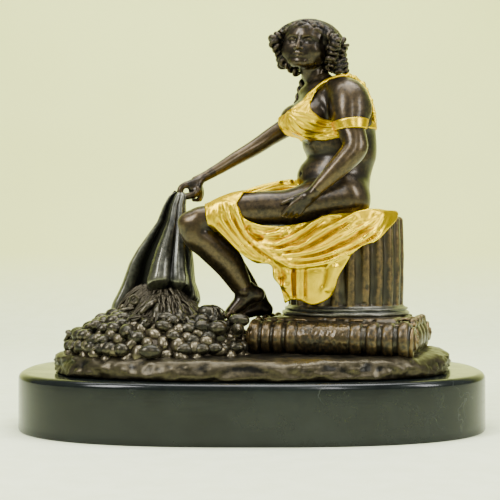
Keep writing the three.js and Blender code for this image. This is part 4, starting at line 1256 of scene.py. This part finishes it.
def build_veil():
    """A tent of cloth that hangs from the hand: stations round its foot, each with the height of its hem."""
    stations = [
        (-33.5, -3, 74.5), (-34.8, -9, 76), (-37, -15, 79), (-40, -14.6, 84), (-41.4, -18.6, 87),
        (-43.6, -23.6, 88.4), (-48.4, -24.6, 89), (-52, -23.6, 89.6), (-55.4, -28, 90.4), (-61.4, -31, 90.4),
        (-67, -28, 89), (-69.4, -20, 87), (-68.4, -9, 82), (-71, -1, 78), (-78, -1, 74), (-85, -11.5, 71.5),
        (-91, -13, 69.4), (-94.6, -7, 67.5), (-93.5, 3, 64), (-89, 9, 62), (-86, 18, 60), (-78, 22, 60),
        (-72, 19, 60), (-64, 27, 60), (-56, 27, 61), (-51, 20, 62), (-44, 22, 63), (-37, 16, 66), (-36, 8, 70),
    ]
    top, low = 154.4, 73.0
    count = 240
    knots = np.asarray(stations[-2:] + stations + stations[:3], float)
    smooth = flow(knots, 1.0)
    half = len(smooth) // 2
    start = np.argmin(np.linalg.norm(smooth[:half] - knots[2], axis=1))
    end = half + np.argmin(np.linalg.norm(smooth[half:] - knots[-3], axis=1))
    loop = smooth[start:end]
    spots = np.linspace(0, len(loop), count, endpoint=False)
    index = np.arange(len(loop) + 1)
    foot = np.column_stack([np.interp(spots, index, np.append(loop[:, i], loop[0, i])) for i in range(3)])
    falls = [0, 0.03, 0.11, 0.243, 0.464, 0.58, 0.737, 0.905, 1, 1.4]
    spreads = [0.12, 0.2, 0.25, 0.33, 0.6, 0.71, 0.80, 0.94, 1, 1.22]
    drifts = [0, 0.05, 0.2, 0.32, 0.63, 0.77, 0.887, 0.967, 1, 1.05]

    def axis(t):
        share = np.interp(t, falls, drifts)
        return np.column_stack([-48.8 - 14.4 * share, 2.6 - 3.0 * share])

    rings = []
    around = np.linspace(0, FULL_TURN, count, endpoint=False)
    foot_fall = (top - foot[:, 2]) / (top - low)
    foot_spread = np.interp(foot_fall, falls, spreads)
    foot_axis = axis(foot_fall)
    out = foot[:, :2] - foot_axis
    away = out / np.linalg.norm(out, axis=1)[:, None]
    for level in 1 - np.linspace(1, 0, 72) ** 1.15:
        z = top + (foot[:, 2] - top) * level
        fall = (top - z) / (top - low)
        spread = np.interp(fall, falls, spreads) / foot_spread
        # A slight belly before the hem tucks under, and fine gathers that fade towards the foot
        tuck = math.exp(-(((level - 0.86) / 0.08) ** 2)) - 7 * max(0, (level - 0.9) / 0.1) ** 1.6
        fine = 0.12 * np.sin(around * 31 + 3 * np.sin(around * 2)) + 0.08 * np.sin(around * 53 + level * 4)
        ring = np.empty_like(foot)
        ring[:, :2] = axis(fall) + out * spread[:, None] + away * (1.2 * tuck + fine * min(1, level * 4))[:, None]
        ring[:, 2] = z
        rings.append(ring[::-1])
    rings = np.asarray(rings)[::-1]
    n, count, _ = rings.shape
    faces = skin_faces(n, count)[:, ::-1]
    # Closed over the top, open at the hem
    crown = np.arange((n - 1) * count, n * count)
    points = np.vstack([rings.reshape(-1, 3), rings[-1].mean(0) + (0, 0, 0.3)])
    fan = [(crown[i], crown[(i + 1) % count], n * count) for i in range(count)]
    obj = add_object("veil", mesh_of("veil", points, [*faces[:, ::-1], *fan]))
    wall = obj.modifiers.new("wall", "SOLIDIFY")
    wall.thickness = 0.0015
    wall.offset = -1
    wall.use_even_offset = False
    plain_copy(obj)
    return finish_piece(obj, VEIL_BRONZE, passes=8)


# Geometry Nodes: cords along paths, and pods scattered over the heap
def new_tree(name, inputs):
    """An empty tree with a geometry input, named inputs and a finish, and the node that gives them."""
    tree = bpy.data.node_groups.new(name, "GeometryNodeTree")
    sockets = [("Geometry", "Geometry", None), *inputs, ("Finish", "Material", None)]
    for label, kind, value in sockets:
        socket = tree.interface.new_socket(label, in_out="INPUT", socket_type="NodeSocket" + kind)
        if value is not None:
            socket.default_value = value
    tree.interface.new_socket("Geometry", in_out="OUTPUT", socket_type="NodeSocketGeometry")
    return tree, tree.nodes.new("NodeGroupInput")


def wire(tree, rows):
    """Joins nodes: each row is a node, its output, the next node and its input."""
    for source, output, target, entry in rows:
        tree.links.new(source.outputs[output], target.inputs[entry])


def end_tree(tree, start, last, output):
    """Makes the instances real, gives them the finish and ends the tree."""
    kinds = ("GeometryNodeRealizeInstances", "GeometryNodeSetMaterial", "NodeGroupOutput")
    real, finish, end = (tree.nodes.new(kind) for kind in kinds)
    wire(tree, [(last, output, real, 0), (real, 0, finish, "Geometry")])
    wire(tree, [(start, "Finish", finish, "Material"), (finish, 0, end, 0)])


def run_tree(obj, tree, values):
    """Puts a tree on an object, sets its named inputs, and gives the mesh that it makes."""
    modifier = obj.modifiers.new(tree.name, "NODES")
    modifier.node_group = tree
    for item in tree.interface.items_tree:
        if item.item_type == "SOCKET" and item.in_out == "INPUT" and item.name in values:
            modifier[item.identifier] = values[item.name]
    mesh = plain_mesh(obj)
    bpy.data.objects.remove(obj)
    return mesh


def cords(name, paths, sides, material):
    """Round cords along paths of x, y, z and radius, swept by a node tree."""
    curve = bpy.data.curves.new(name, "CURVE")
    curve.dimensions = "3D"
    for path in paths:
        spline = curve.splines.new("POLY")
        spline.points.add(len(path) - 1)
        for point, (x, y, z, r) in zip(spline.points, path):
            point.co = (x * MM, y * MM, z * MM, 1)
            point.radius = r
    tree, start = new_tree(name + "_sweep", [("Thickness", "Float", MM), ("Sides", "Int", 8)])
    circle = tree.nodes.new("GeometryNodeCurvePrimitiveCircle")
    radius = tree.nodes.new("GeometryNodeInputRadius")
    sweep = tree.nodes.new("GeometryNodeCurveToMesh")
    sweep.inputs["Fill Caps"].default_value = True
    wire(tree, [
        (start, "Sides", circle, "Resolution"), (start, "Thickness", circle, "Radius"),
        (start, "Geometry", sweep, "Curve"), (circle, "Curve", sweep, "Profile Curve"), (radius, 0, sweep, "Scale"),
    ])
    end_tree(tree, start, sweep, "Mesh")
    obj = add_object(name + "_paths", curve)
    mesh = run_tree(obj, tree, {"Thickness": MM, "Sides": sides, "Finish": material})
    mesh.name = name
    return finish_piece(add_object(name, mesh), material, passes=4)


def heap_level(x, y):
    """Height of the heap's own form at a place, under the pods."""
    long, deep, high = HEAP_SIZE
    reach = abs((x - HEAP[0]) / (long / 2)) ** HEAP_POWER + abs((y - HEAP[1]) / (deep / 2)) ** HEAP_POWER
    edge = max(0.0, 1 - reach ** (1 / HEAP_POWER)) * min(long, deep) / 2
    level = GROUND_TOP + high * (1 - math.exp(-edge / 9)) - (2 if edge <= 0 else 0)
    # The mound under the veil
    off = math.hypot((x + 62) / 34, (y + 4) / 31)
    return max(level, GROUND_TOP + 41 * math.sqrt(1 - off * off)) if off < 1 else level


def pod_mesh(name, kind, lanes=6, seeds=9):
    """One pod about its own middle, its long way along x. It repeats, so it has a few dozen faces."""
    long, wide = ((4.9, 3.6), (4.9, 3.6), (4.2, 3.8), (5.6, 3.0), (3.6, 3.5))[kind]
    points = []
    for i in range(lanes + 1):
        t = i / lanes * math.pi
        for j, turn in enumerate(turns(seeds)):
            ridge = 0.45 * (j % 2) - 0.2 if kind == 1 else 0.25 * math.cos(2 * turn) if kind == 3 else 0.0
            x = -math.cos(t) * long
            w = (wide + ridge) * max(math.sin(t), 0.03) ** (1.1 if kind == 3 else 0.85)
            if kind in (2, 4) and i < 2:
                # A hole at one end
                x, w = (1.6 - long, 0.8) if i == 0 else (-long, 1.5)
            points.append((x, w * math.cos(turn), w * math.sin(turn)))
    ends = [tuple(range(seeds))[::-1], tuple(range(lanes * seeds, (lanes + 1) * seeds))]
    return mesh_of(name, points, [*skin_faces(lanes + 1, seeds), *ends])


def scatter_tree():
    """Scatters turned and sized copies of a collection's pods over a surface."""
    inputs = [("Pods", "Collection", None), ("Spacing", "Float", 0.006), ("Smallest", "Float", 0.8)]
    tree, start = new_tree("scatter_pods", [*inputs, ("Largest", "Float", 1.2), ("Seed", "Int", 4)])
    new = tree.nodes.new
    scatter = new("GeometryNodeDistributePointsOnFaces")
    scatter.distribute_method = "POISSON"
    scatter.inputs["Density Max"].default_value = 900000
    source = new("GeometryNodeCollectionInfo")
    source.inputs["Separate Children"].default_value = True
    source.inputs["Reset Children"].default_value = True
    put = new("GeometryNodeInstanceOnPoints")
    put.inputs["Pick Instance"].default_value = True
    spin = new("FunctionNodeRandomValue")
    spin.data_type = "FLOAT_VECTOR"
    spin.inputs[0].default_value = (-0.5, -0.45, 0.0)
    spin.inputs[1].default_value = (0.5, 0.45, 6.28)
    size = new("FunctionNodeRandomValue")
    turn = new("GeometryNodeRotateInstances")
    wire(tree, [
        (start, "Geometry", scatter, "Mesh"), (start, "Spacing", scatter, "Distance Min"),
        (start, "Seed", scatter, "Seed"), (scatter, "Points", put, "Points"), (start, "Pods", source, "Collection"),
        (source, 0, put, "Instance"), (scatter, "Rotation", put, "Rotation"), (start, "Smallest", size, 2),
        (start, "Largest", size, 3), (size, 1, put, "Scale"), (start, "Seed", spin, "Seed"),
        (put, "Instances", turn, "Instances"), (spin, 0, turn, "Rotation"),
    ])
    end_tree(tree, start, turn, "Instances")
    return tree


def on_ground(x, y):
    """The place itself, or the nearest one inside the ground's edge."""
    reach = (abs(x / HEAP_REACH[0]) ** OVAL_POWER + abs(y / HEAP_REACH[1]) ** OVAL_POWER) ** (1 / OVAL_POWER)
    return (x / reach, y / reach) if reach > 1 else (x, y)


def heap_rings(count=120, steps=40):
    """Rings of the heap's earth, from its edge to its middle."""
    rings = []
    for i in range(steps):
        share = i / (steps - 1)
        ring = []
        for turn in turns(count):
            ox, oy = oval(turn, HEAP_SIZE[0] / 2 - 1, HEAP_SIZE[1] / 2 - 1, HEAP_POWER)
            x, y = on_ground(HEAP[0] + ox * (1 - share), HEAP[1] + oy * (1 - share))
            z = heap_level(x, y) - 2.0 if i else GROUND_TOP - 3
            ring.append((x, y, z + 1.3 * ripple(x * 0.16, y * 0.16, 3.0)))
        rings.append(ring)
    return rings


def scatter_pods(form):
    """Small pods of five kinds, scattered over the heap's earth."""
    kinds = bpy.data.collections.new("pod_kinds")
    for kind in range(5):
        name = f"pod_{kind}"
        kinds.objects.link(bpy.data.objects.new(name, pod_mesh(name, kind)))
    values = {"Pods": kinds, "Spacing": 0.0082, "Smallest": 1.0, "Largest": 1.3, "Seed": 7, "Finish": POD_BRONZE}
    mesh = run_tree(add_object("pod_ground", form.copy()), scatter_tree(), values)
    for pod_kind in list(kinds.objects):
        bpy.data.objects.remove(pod_kind)
    bpy.data.collections.remove(kinds)
    mesh.name = "heap_pods"
    finish_piece(add_object("heap_pods", mesh), POD_BRONZE, passes=1)


def shape_pod(clay, place, long, wide, yaw, kind="smooth", tilt=0.0):
    """A larger pod: smooth, with a hole at the end that faces the viewer, ribbed or dented."""
    axes = turned(yaw, tilt)
    clay.lump(place, (long, wide, wide), axes, k=0.35)
    if kind == "holed":
        end = np.array(place) - axes[0] * long * (1 if axes[0][1] > 0 else -1)
        clay.lump(end, (1.7, 1.5, 1.5), axes, k=0.3)
        clay.lump(end, 1.05, k=0.3, cut=True)
    for t in turns({"ribbed": 9, "dented": 5}.get(kind, 0)):
        rows = []
        for s in np.linspace(-0.86, 0.86, 7):
            r = wide * math.sqrt(1 - s * s) + 0.1
            p = np.array(place) + axes[0] * long * s + (axes[1] * math.cos(t) + axes[2] * math.sin(t)) * r
            rows.append((*p, 0.34))
        clay.strand(rows, k=0.35, cut=kind == "dented", gap=0.5)


def build_large_pods():
    """The larger pods and beads that lie in front, each modelled on its own."""
    clay = Clay((-128, -86, 48), (8, 14, 90), 0.6)
    # Rows that follow the heap's edge, from the ground upwards
    kinds = ("smooth", "holed", "dented", "smooth", "ribbed", "holed", "dented")
    rows = ((3.2, 54.4), (8.6, 60.6), (14.6, 66.2), (21.5, 69.6), (28.5, 72.0), (12, 56))
    n = 0
    for row, (inset, level) in enumerate(rows):
        half_long, half_deep = HEAP_SIZE[0] / 2 - inset, HEAP_SIZE[1] / 2 - inset
        turn = -3.35 + 0.07 * (row % 2)
        while turn < -0.12:
            n += 1
            x, y = oval(turn, half_long, half_deep, HEAP_POWER)
            x, y = on_ground(
                float(x) + HEAP[0] + 3 * (chance(n) - 0.5), float(y) + HEAP[1] + 3 * (chance(n + 7) - 0.5),
            )
            kind = kinds[n % 7]
            long, wide = 4.8 + 1.5 * chance(n + 13), 3.7 + 0.7 * chance(n + 29)
            yaw = 60 + 60 * (chance(n + 3) - 0.5) if kind == "holed" else 56 * (chance(n + 5) - 0.5)
            # Room is left for the long one in front
            if math.hypot(x + 60.4, y + 74) > 10:
                z = level + (3.4 * (chance(n + 17) - 0.5) if row else 0.3)
                shape_pod(clay, (x, y, z), long, wide, yaw, kind, 24 * (chance(n + 19) - 0.5))
            around = math.hypot(half_long * math.sin(turn), half_deep * math.cos(turn))
            turn += (9.4 + 2 * chance(n + 41)) / max(around, 34)
    # The bright long one in front, a pot with a hole, a walnut and a striped one
    for place, long, wide, yaw, kind in (
        ((-60.4, -77, 54.4), 7.2, 4.5, 6, "smooth"), ((-76.4, -60, 65), 6.4, 4.9, 95, "holed"),
        ((-21.2, -56, 67), 6.2, 4.7, 6, "dented"), ((-8, -46, 71.2), 6.8, 4.2, 4, "ribbed"),
        ((-8.6, -55, 66.4), 4.8, 4, 95, "holed"),
    ):
        shape_pod(clay, place, long, wide, yaw, kind)
    # A ribbed dome behind, and curled leaves at the far left
    clay.lump((-26, -34, 74), (9, 7, 6), turned(15, 25), k=0.5)
    for i in range(9):
        a = math.radians(-80 + i * 20)
        rows = []
        for t in np.linspace(0.1, 1.6, 6):
            x, y = -26 + 9.3 * math.sin(t) * math.cos(a) * 0.95, -34 + 7.3 * math.sin(t) * math.sin(a) - 0.2
            rows.append((x, y, 74 + 6.2 * math.cos(t), 0.5))
        clay.strand(rows, k=0.5)
    for x, y, z, lean, long in (
        (-119.4, -25, 60, 70, 3.6), (-115.4, -30, 60.4, -40, 4.2), (-106, -34, 62.6, -48, 3.8),
        (-110, -22, 62, 60, 3.6), (-99, -38, 65.6, -14, 4.4),
    ):
        c, s = math.cos(math.radians(lean)), math.sin(math.radians(lean))
        rows = []
        for t in np.linspace(-1, 1, 7):
            bow = 1.2 * (1 - t * t)
            spot = (x + long * c * t + bow * s, y - 0.6 * bow, z + long * s * t + bow * c)
            rows.append((*spot, 2.1 * math.sqrt(1.12 - t * t), 1.5))
        clay.strand(rows, side=(0, 1, 0), k=0.4)
    # Long pods, a ring and beads that lie in the tangle under the veil
    for a, b, size in (
        ((-61, -34, 83), (-69.4, -40, 76), 2.4), ((-59.4, -38, 80), (-60.6, -46, 70), 2.7),
        ((-52.6, -38, 79.4), (-50.6, -46, 68.4), 2.2), ((-46.4, -36, 79), (-43.6, -44, 70), 1.9),
        ((-76, -30, 78), (-88, -34, 74), 1.6), ((-40, -32, 78), (-35.4, -38, 69), 1.7),
    ):
        middle = (np.add(a, b) / 2) + (0, -0.8, 0.8)
        clay.strand([(*a, size * 0.7), (*middle, size), (*b, size * 0.75)], k=0.5)
    around = np.linspace(0, FULL_TURN, 15)
    clay.strand([(-75.4 + 2.6 * math.cos(q), -30, 83.6 + 2.6 * math.sin(q), 0.95) for q in around], k=0.2)
    for spot, size in (
        ((-67.6, -46, 67.6), 3.2), ((-40.9, -44, 71), 3.2), ((-84, -42, 70), 2.6), ((-30, -42, 70), 3),
    ):
        clay.lump(spot, size, k=0.4)
    clay_piece("heap_large_pods", clay, POD_BRONZE, passes=4, even=1, share=0.5)


def build_straws():
    """Straws, twigs and twisted stalks that spill from under the veil's hem."""
    paths = []
    for i in range(190):
        layer = i % 4
        a = math.pi * (0.96 + 1.02 * (i + chance(i)) / 190)
        root = (
            -56 + (7 + 3 * layer) * math.cos(a), -12 + (12 + 3.4 * layer) * math.sin(a),
            90 - 3.6 * layer - 3 * chance(i + 5),
        )
        reach = 8 + 4.2 * layer + 5 * chance(i + 200)
        sway = (chance(i + 300) - 0.5) * 1.1
        coil = 0.5 + 1.5 * chance(i + 700)
        path = []
        for t in np.linspace(0, 1, 18):
            b = a + sway * t
            x, y = root[0] + reach * t * math.cos(b), root[1] + reach * t * math.sin(b)
            x += coil * math.sin(t * 9 + i) * t
            y += coil * math.cos(t * 8 + i * 2) * t
            floor = heap_level(x, y) + 1.6 + 0.9 * layer
            drop = root[2] - 24 * t**1.4 + 3 * math.sin(t * math.pi)
            path.append((
                x,
                y,
                max(floor, drop),
                (0.75 + 0.7 * chance(i + 400)) * (1 - 0.45 * t) * (1 + 0.14 * math.sin(t * 25 + i)),
            ))
        paths.append(path)
    cords("heap_straws", paths, 6, STRAW_BRONZE)


def build_heap():
    """The heap: earth, scattered pods, larger pods and straws."""
    form = loft("heap_earth", heap_rings())
    earth = add_object("heap_earth", form)
    scatter_pods(form)
    finish_piece(earth, EARTHY_BRONZE, passes=6)
    build_large_pods()
    build_straws()


def build_column():
    """The fluted drum and its moulded base."""
    flutes, perflute = 24, 14
    levels = np.concatenate([np.linspace(0, 0.12, 12), np.linspace(0.14, 0.9, 24), np.linspace(0.92, 1, 10)])
    rings = []
    for level in levels:
        z = SHAFT_FOOT - 0.3 + level * (SEAT - SHAFT_FOOT + 0.3)
        ends = min(1, (level / 0.06) ** 0.5, ((1 - level) / 0.035) ** 0.5)
        ring = []
        for j, turn in enumerate(turns(flutes * perflute)):
            c, s = math.cos(turn), math.sin(turn)
            off = abs((j % perflute) / perflute - 0.5)
            hollow = max(0.0, 1 - (off / 0.3) ** 2) ** 0.75
            rounding = 0.55 * (off * 2 - 0.6) if off > 0.3 else 0.0
            wear = ripple(c * 9, s * 9, z * 0.12)
            chip = max(0, ripple(c * 14, s * 14, z * 0.3 + 7) - 0.35)
            r = COLUMN_RADIUS - 0.2 + rounding + 0.7 * math.sin(level * math.pi) - 1.9 * hollow * ends
            r += 0.3 * wear - 1.6 * chip - 1.6 * max(0.0, (level - 0.965) / 0.035) ** 2
            ring.append((COLUMN[0] + r * c, COLUMN[1] + r * s, z))
        rings.append(ring)
    lofted_piece("column_shaft", rings, STONY_BRONZE, passes=6)
    profile = [
        (36, 72.6), (41.6, 72.8), (42.4, 73.3), (42.5, 74.3), (42.1, 75.2), (41, 75.6), (40.6, 76), (41.1, 76.5),
        (41.2, 77.1), (40.8, 77.7), (39.6, 78.1), (39.0, 78.5), (38.7, 79.2), (37.5, 79.6), (30, 79.7),
    ]
    around = np.linspace(0, FULL_TURN, 180, endpoint=False)
    rings = []
    for r, z in profile:
        worn = r + (0.25 * np.sin(around * 7 + z) + 0.15 * np.sin(around * 17 + 2 * z))
        x, y = COLUMN[0] + worn * np.cos(around), COLUMN[1] + worn * np.sin(around)
        rings.append(np.column_stack([x, y, np.full(180, z)]))
    lofted_piece("column_base", rings, WEATHERED_BRONZE, passes=5)


def on_capital(x, y, z):
    """A place on the fallen capital, which lies askew: x along its bolsters, y across."""
    c, s = math.cos(math.radians(CAPITAL_YAW)), math.sin(math.radians(CAPITAL_YAW))
    return CAPITAL[0] + x * c - y * s, CAPITAL[1] + x * s + y * c, z


# Where the rings of each bolster lie along it; the plain hammered band is between the fourth and the fifth
BOLSTER_RINGS = [
    (-50.4, -44.2), (-43.0, -36.8), (-35.4, -29.2), (-27.4, -20.4), (13, 20.6), (23.4, 30.8), (33, 40.4),
    (42.8, 49.4),
]


def bolster_girth(x):
    """A bolster's radius at a place along it, and how rough it is there."""
    flare = 0.9 * max(0.0, (abs(x) - 28) / 24) ** 2
    if -20.4 < x < 13:
        return 9.2 + 1.15 * (1 - abs((x + 3.7) / 16.7) ** 9) ** 0.5, 0.42
    for low, high in BOLSTER_RINGS:
        if low < x < high:
            off = abs((x - (low + high) / 2) / ((high - low) / 2))
            return 8.9 + flare + 2.1 * (1 - off**3.2) ** 0.6, 0.16
    return 8.9 + flare, 0.12


def build_bolster(name, row, count=84):
    """One of the capital's two scrolled rolls, at its near (-1) or far (1) side."""

    def ring(x, sizes):
        spots = [(size * math.cos(turn), size * math.sin(turn)) for turn, size in zip(turns(count), sizes)]
        return [on_capital(x, row * BOLSTER_ASIDE + aside, BOLSTER_LEVEL + up) for aside, up in spots]

    rings = []
    for x in np.linspace(-BOLSTER_HALF, BOLSTER_HALF, 190):
        girth, uneven = bolster_girth(x)
        sizes = []
        for turn in turns(count):
            p = Vector((x * 0.5, math.cos(turn) * 5, math.sin(turn) * 5 + row * 3))
            bump = uneven * (noise.noise(p) + 0.7 * noise.noise(p * 2.3))
            bump += 0.5 * ripple(x * 0.09, math.cos(turn), row)
            sizes.append(girth + bump)
        rings.append(ring(x, sizes))
    # The ends swell outwards, so that their spirals are seen from the side too
    for end in (-1, 1):
        for out, size in ((-0.6, 9.6), (1.4, 7), (3.0, 3.6), (3.6, 1.2)):
            cap = ring(end * (BOLSTER_HALF + out), [size] * count)
            rings = [cap] + rings if end < 0 else rings + [cap]
    lofted_piece(name, rings, STONY_BRONZE, passes=5)


def build_volutes():
    """Spirals on the ends of the bolsters, each with an eye."""
    paths = []
    for row in (-1, 1):
        for end in (-1, 1):
            path = []
            for t in np.linspace(0, 1, 90):
                turn = 2.4 * FULL_TURN * t - row * end * 0.6 + math.pi / 2
                r = 9.8 * (1 - t) ** 1.05 + 1.2
                y = row * BOLSTER_ASIDE + end * row * r * math.cos(turn)
                out = BOLSTER_HALF + 3.6 - 4.4 * (r / 10) ** 1.6
                path.append((*on_capital(end * out, y, BOLSTER_LEVEL + r * math.sin(turn)), 1.5 - 0.6 * t))
            eye = []
            for t in np.linspace(0, 1, 5):
                spot = on_capital(end * (BOLSTER_HALF + 3 + 1.6 * t), row * BOLSTER_ASIDE, BOLSTER_LEVEL)
                eye.append((*spot, 2 * math.sqrt(max(0.02, 1 - t * t))))
            paths += [path, eye]
    cords("capital_volutes", paths, 10, STONY_BRONZE)


def build_capital():
    """The fallen Ionic capital under the column."""
    build_bolster("capital_near_bolster", -1)
    build_bolster("capital_far_bolster", 1)
    build_volutes()
    # Core, abacus and the egg moulding between the volutes
    clay = Clay((-4, -72, 46), (124, 56, 80), 0.8)
    where, x, y, z = clay.whole()
    c, s = math.cos(-math.radians(CAPITAL_YAW)), math.sin(-math.radians(CAPITAL_YAW))
    lx = (x - CAPITAL[0]) * c - (y - CAPITAL[1]) * s
    ly = (x - CAPITAL[0]) * s + (y - CAPITAL[1]) * c

    def block(hx, hy, low, high, soft, k, shift=0.0):
        dx, dy = np.abs(lx - shift) - hx + soft, np.abs(ly) - hy + soft
        dz = np.abs(z - (low + high) / 2) - (high - low) / 2 + soft
        outside = np.sqrt(np.maximum(dx, 0) ** 2 + np.maximum(dy, 0) ** 2 + np.maximum(dz, 0) ** 2)
        inside = np.minimum(np.maximum(np.maximum(dx, dy), dz), 0)
        clay.join(where, (outside + inside - soft).astype(np.float32), k)

    block(50, 41, 47, 69, 1.5, 0.5)
    block(51.5, 27, 48, 70, 2, 1)
    block(41, 36, 66, 72.7, 2.6, 1.5)
    for i in range(150):
        place = on_capital((chance(i) - 0.5) * 86, (chance(i + 500) - 0.5) * 74, 71.4)
        radii = (2 + 3 * chance(i + 900), 2 + 2 * chance(i + 70), 0.9)
        clay.lump(place, radii, turned(chance(i + 33) * 180), k=0.8, cut=i % 3 == 0)
    square = turned(CAPITAL_YAW)
    for end in (-1, 1):
        for i in range(-1, 2):
            egg = on_capital(end * 51.6, i * 18, 59.6)
            clay.lump(egg, (3.4, 6.2, 7.4), square, k=0.6)
            clay.lump(egg, (2.2, 7.8, 9), square, k=0.4)
            for side in (-1, 1):
                clay.lump(on_capital(end * 52, i * 18 + side * 9, 60), (1.8, 1.1, 7), square, k=0.5)
                clay.lump(on_capital(end * 49.6, i * 18 + side * 9, 70.4), (2.6, 3.4, 2.4), square, k=0.6)
        for j in range(-9, 10):
            clay.lump(on_capital(end * 51, j * 3.4, 68.8), 1.4, k=0.4)
    # The roll between each bolster and the base of the column
    for row in (-1, 1):
        clay.strand(
            [(*on_capital(xx, row * 36, 67.6), 3.6, 2) for xx in np.linspace(-46, 46, 8)],
            side=(0, 1, 0),
            k=2.5,
        )
    clay_piece("capital_core", clay, STONY_BRONZE, passes=5, share=0.45)


def build_ground():
    """The rough slab that everything stands on: up its rim, then in over its top."""
    rim = [(-2.5, 37.35), (-0.6, 37.5), (0.4, 38.4), (0.9, 40), (0.9, 41.7), (0.5, 43.3), (0, 44.8), (-0.8, 46.2)]
    rim += [(-1.8, 47.5), (-3.4, 48.6), (-5.4, 49.4), (-8, 49.9), (-11.5, 50.2)]
    levels = rim + [(-11.5 - 74 * (i / 30), 50.2) for i in range(1, 31)]
    rings = []
    for n, (grow, z) in enumerate(levels):
        ring = []
        for turn in turns(420):
            wave = 1.2 * math.sin(7 * turn + 1) * 0.6 + 0.7 * math.sin(12 * turn) + 0.5 * math.sin(17 * turn + 2)
            x, y = oval(turn, GROUND_HALF[0] + grow + wave * 0.8, GROUND_HALF[1] + grow + wave * 0.4)
            x, y = float(x), float(y)
            p = Vector((x * 0.05, y * 0.05, z * 0.13))
            crag = 3.4 * noise.noise(p) + 3.2 * abs(noise.noise(p * 2.1)) + 1.1 * noise.noise(p * 4.3)
            crag += 0.4 * noise.noise(p * 9)
            if 0 < n < len(rim) - 1:
                out = 1 + (crag - 1.2) * 0.9 / math.hypot(x, y)
                x, y = x * out, y * out
            lift = 0.0
            if n > 5:
                lift = 1.1 * ripple(x * 0.06, y * 0.06, 9) + 0.7 * ripple(x * 0.17, y * 0.17, 5)
                lift += 0.4 * ripple(x * 0.4, y * 0.4, 2)
                lift *= min(1, (n - 5) / 4)
            ring.append((x, min(max(y, -89), 89), max(z + lift, GROUND_FOOT + 0.05)))
        rings.append(ring)
    lofted_piece("ground", rings, ROCKY_BRONZE, passes=8)


def build_plinth():
    """The marble oval, its upper edge rounded off."""
    count, rounding = 256, 4
    profile = [(-1.2, 0), (-0.3, 0.25), (0, 1.0), (0, 8), (0, 20), (0, PLINTH_TOP - rounding)]
    for step in range(1, 9):
        t = step / 8 * math.pi / 2
        profile.append((-rounding * (1 - math.cos(t)), PLINTH_TOP - rounding * (1 - math.sin(t))))
    profile += [(-12, PLINTH_TOP), (-30, PLINTH_TOP), (-60, PLINTH_TOP)]
    around = np.linspace(0, FULL_TURN, count, endpoint=False)
    rings = []
    for grow, z in profile:
        x, y = oval(around, PLINTH_HALF[0] + grow, PLINTH_HALF[1] + grow)
        rings.append(np.column_stack([x, y, np.full(count, z)]))
    lofted_piece("plinth", rings, MARBLE, "marble_plinth", passes=2)


# Studio, in metres
def pale_paper():
    """The backdrop's finish: the floor a little cooler than the wall."""
    f = Finish("pale_paper")
    level = f.add("ShaderNodeSeparateXYZ")
    f.feed(level.inputs[0], f.place)
    wall = f.mix(f.between(f.noise(3, 2), 0.4, 0.6), (0.86, 0.92, 0.33), (0.89, 0.95, 0.36))
    floor = f.mix(f.between(f.noise(60, 4), 0.4, 0.6), (0.85, 0.92, 0.62), (0.89, 0.96, 0.67))
    tone = f.mix(f.between(level.outputs["Z"], 0.004, 0.12), floor, wall)
    f.dress(base_color=tone, roughness=0.9, specular_ior_level=0.2)
    f.bump(f.noise(90, 4), 0.0006, 0.3)
    return f.material


def build_floor():
    """A sheet of pale paper that lies flat and sweeps up behind."""
    half_width, bend, behind, bend_radius = 3.0, 12, 0.7, 0.5
    profile = [(-1.6, 0.0), (behind, 0.0)]
    for step in range(1, bend + 1):
        t = step / bend * math.pi / 2
        profile.append((behind + bend_radius * math.sin(t), bend_radius - bend_radius * math.cos(t)))
    profile.append((behind + bend_radius, 2.2))
    points = [(x, y, z) for y, z in profile for x in (-half_width, half_width)]
    faces = [(2 * i, 2 * i + 1, 2 * i + 3, 2 * i + 2) for i in range(len(profile) - 1)]
    mesh = bpy.data.meshes.new("studio_floor")
    mesh.from_pydata(points, [], faces)
    mesh.polygons.foreach_set("use_smooth", [True] * len(faces))
    mesh.materials.append(pale_paper())
    add_object("studio_floor", mesh)


def lamp(name, place, aim, size, power):
    """A rectangular softbox turned towards a place."""
    light = bpy.data.lights.new(name, "AREA")
    light.shape = "RECTANGLE"
    light.size, light.size_y = size
    light.energy = power
    obj = add_object(name, light)
    obj.location = place
    obj.rotation_euler = (Vector(aim) - Vector(place)).to_track_quat("-Z", "Y").to_euler()


def build_studio():
    build_floor()
    scene = bpy.context.scene
    scene.world = scene.world or bpy.data.worlds.new("studio_air")
    scene.world.use_nodes = True
    air = scene.world.node_tree.nodes["Background"]
    air.inputs["Color"].default_value = (0.93, 0.96, 0.88, 1)
    air.inputs["Strength"].default_value = 0.42
    lamp("left_softbox", (-0.72, -0.66, 0.86), (0, 0, 0.12), (0.3, 0.6), 16)
    lamp("right_softbox", (0.95, -0.5, 0.6), (0, 0, 0.14), (0.22, 0.6), 9)
    lamp("top_softbox", (0.1, -0.1, 1.2), (0, 0, 0.1), (0.8, 0.8), 15)
    lamp("window_strip", (0.28, -0.85, 0.62), (0.05, -0.02, 0.2), (0.1, 0.5), 2.9)
    lamp("backdrop_light", (0, 0.15, 1.3), (0, 1.1, 0.45), (1.8, 0.4), 23)


def build_camera():
    """The photo's view: level with the skirt's hem, a little above the plinth."""
    camera = bpy.data.cameras.new("photo_view")
    camera.lens = 77.5
    camera.sensor_width = 36
    camera.clip_start = 0.01
    obj = add_object("photo_view", camera)
    obj.location = (0, -0.72, 0.110)
    obj.rotation_euler = (math.radians(90.45), 0, math.radians(0.096))
    bpy.context.scene.camera = obj


for build in (
    build_camera, build_plinth, build_ground, build_capital, build_column, build_heap, build_veil, build_body,
    build_near_hand, build_far_hand, build_feet, build_head, build_hair, build_skirt, build_bodice, build_armband,
    build_studio,
):
    build()
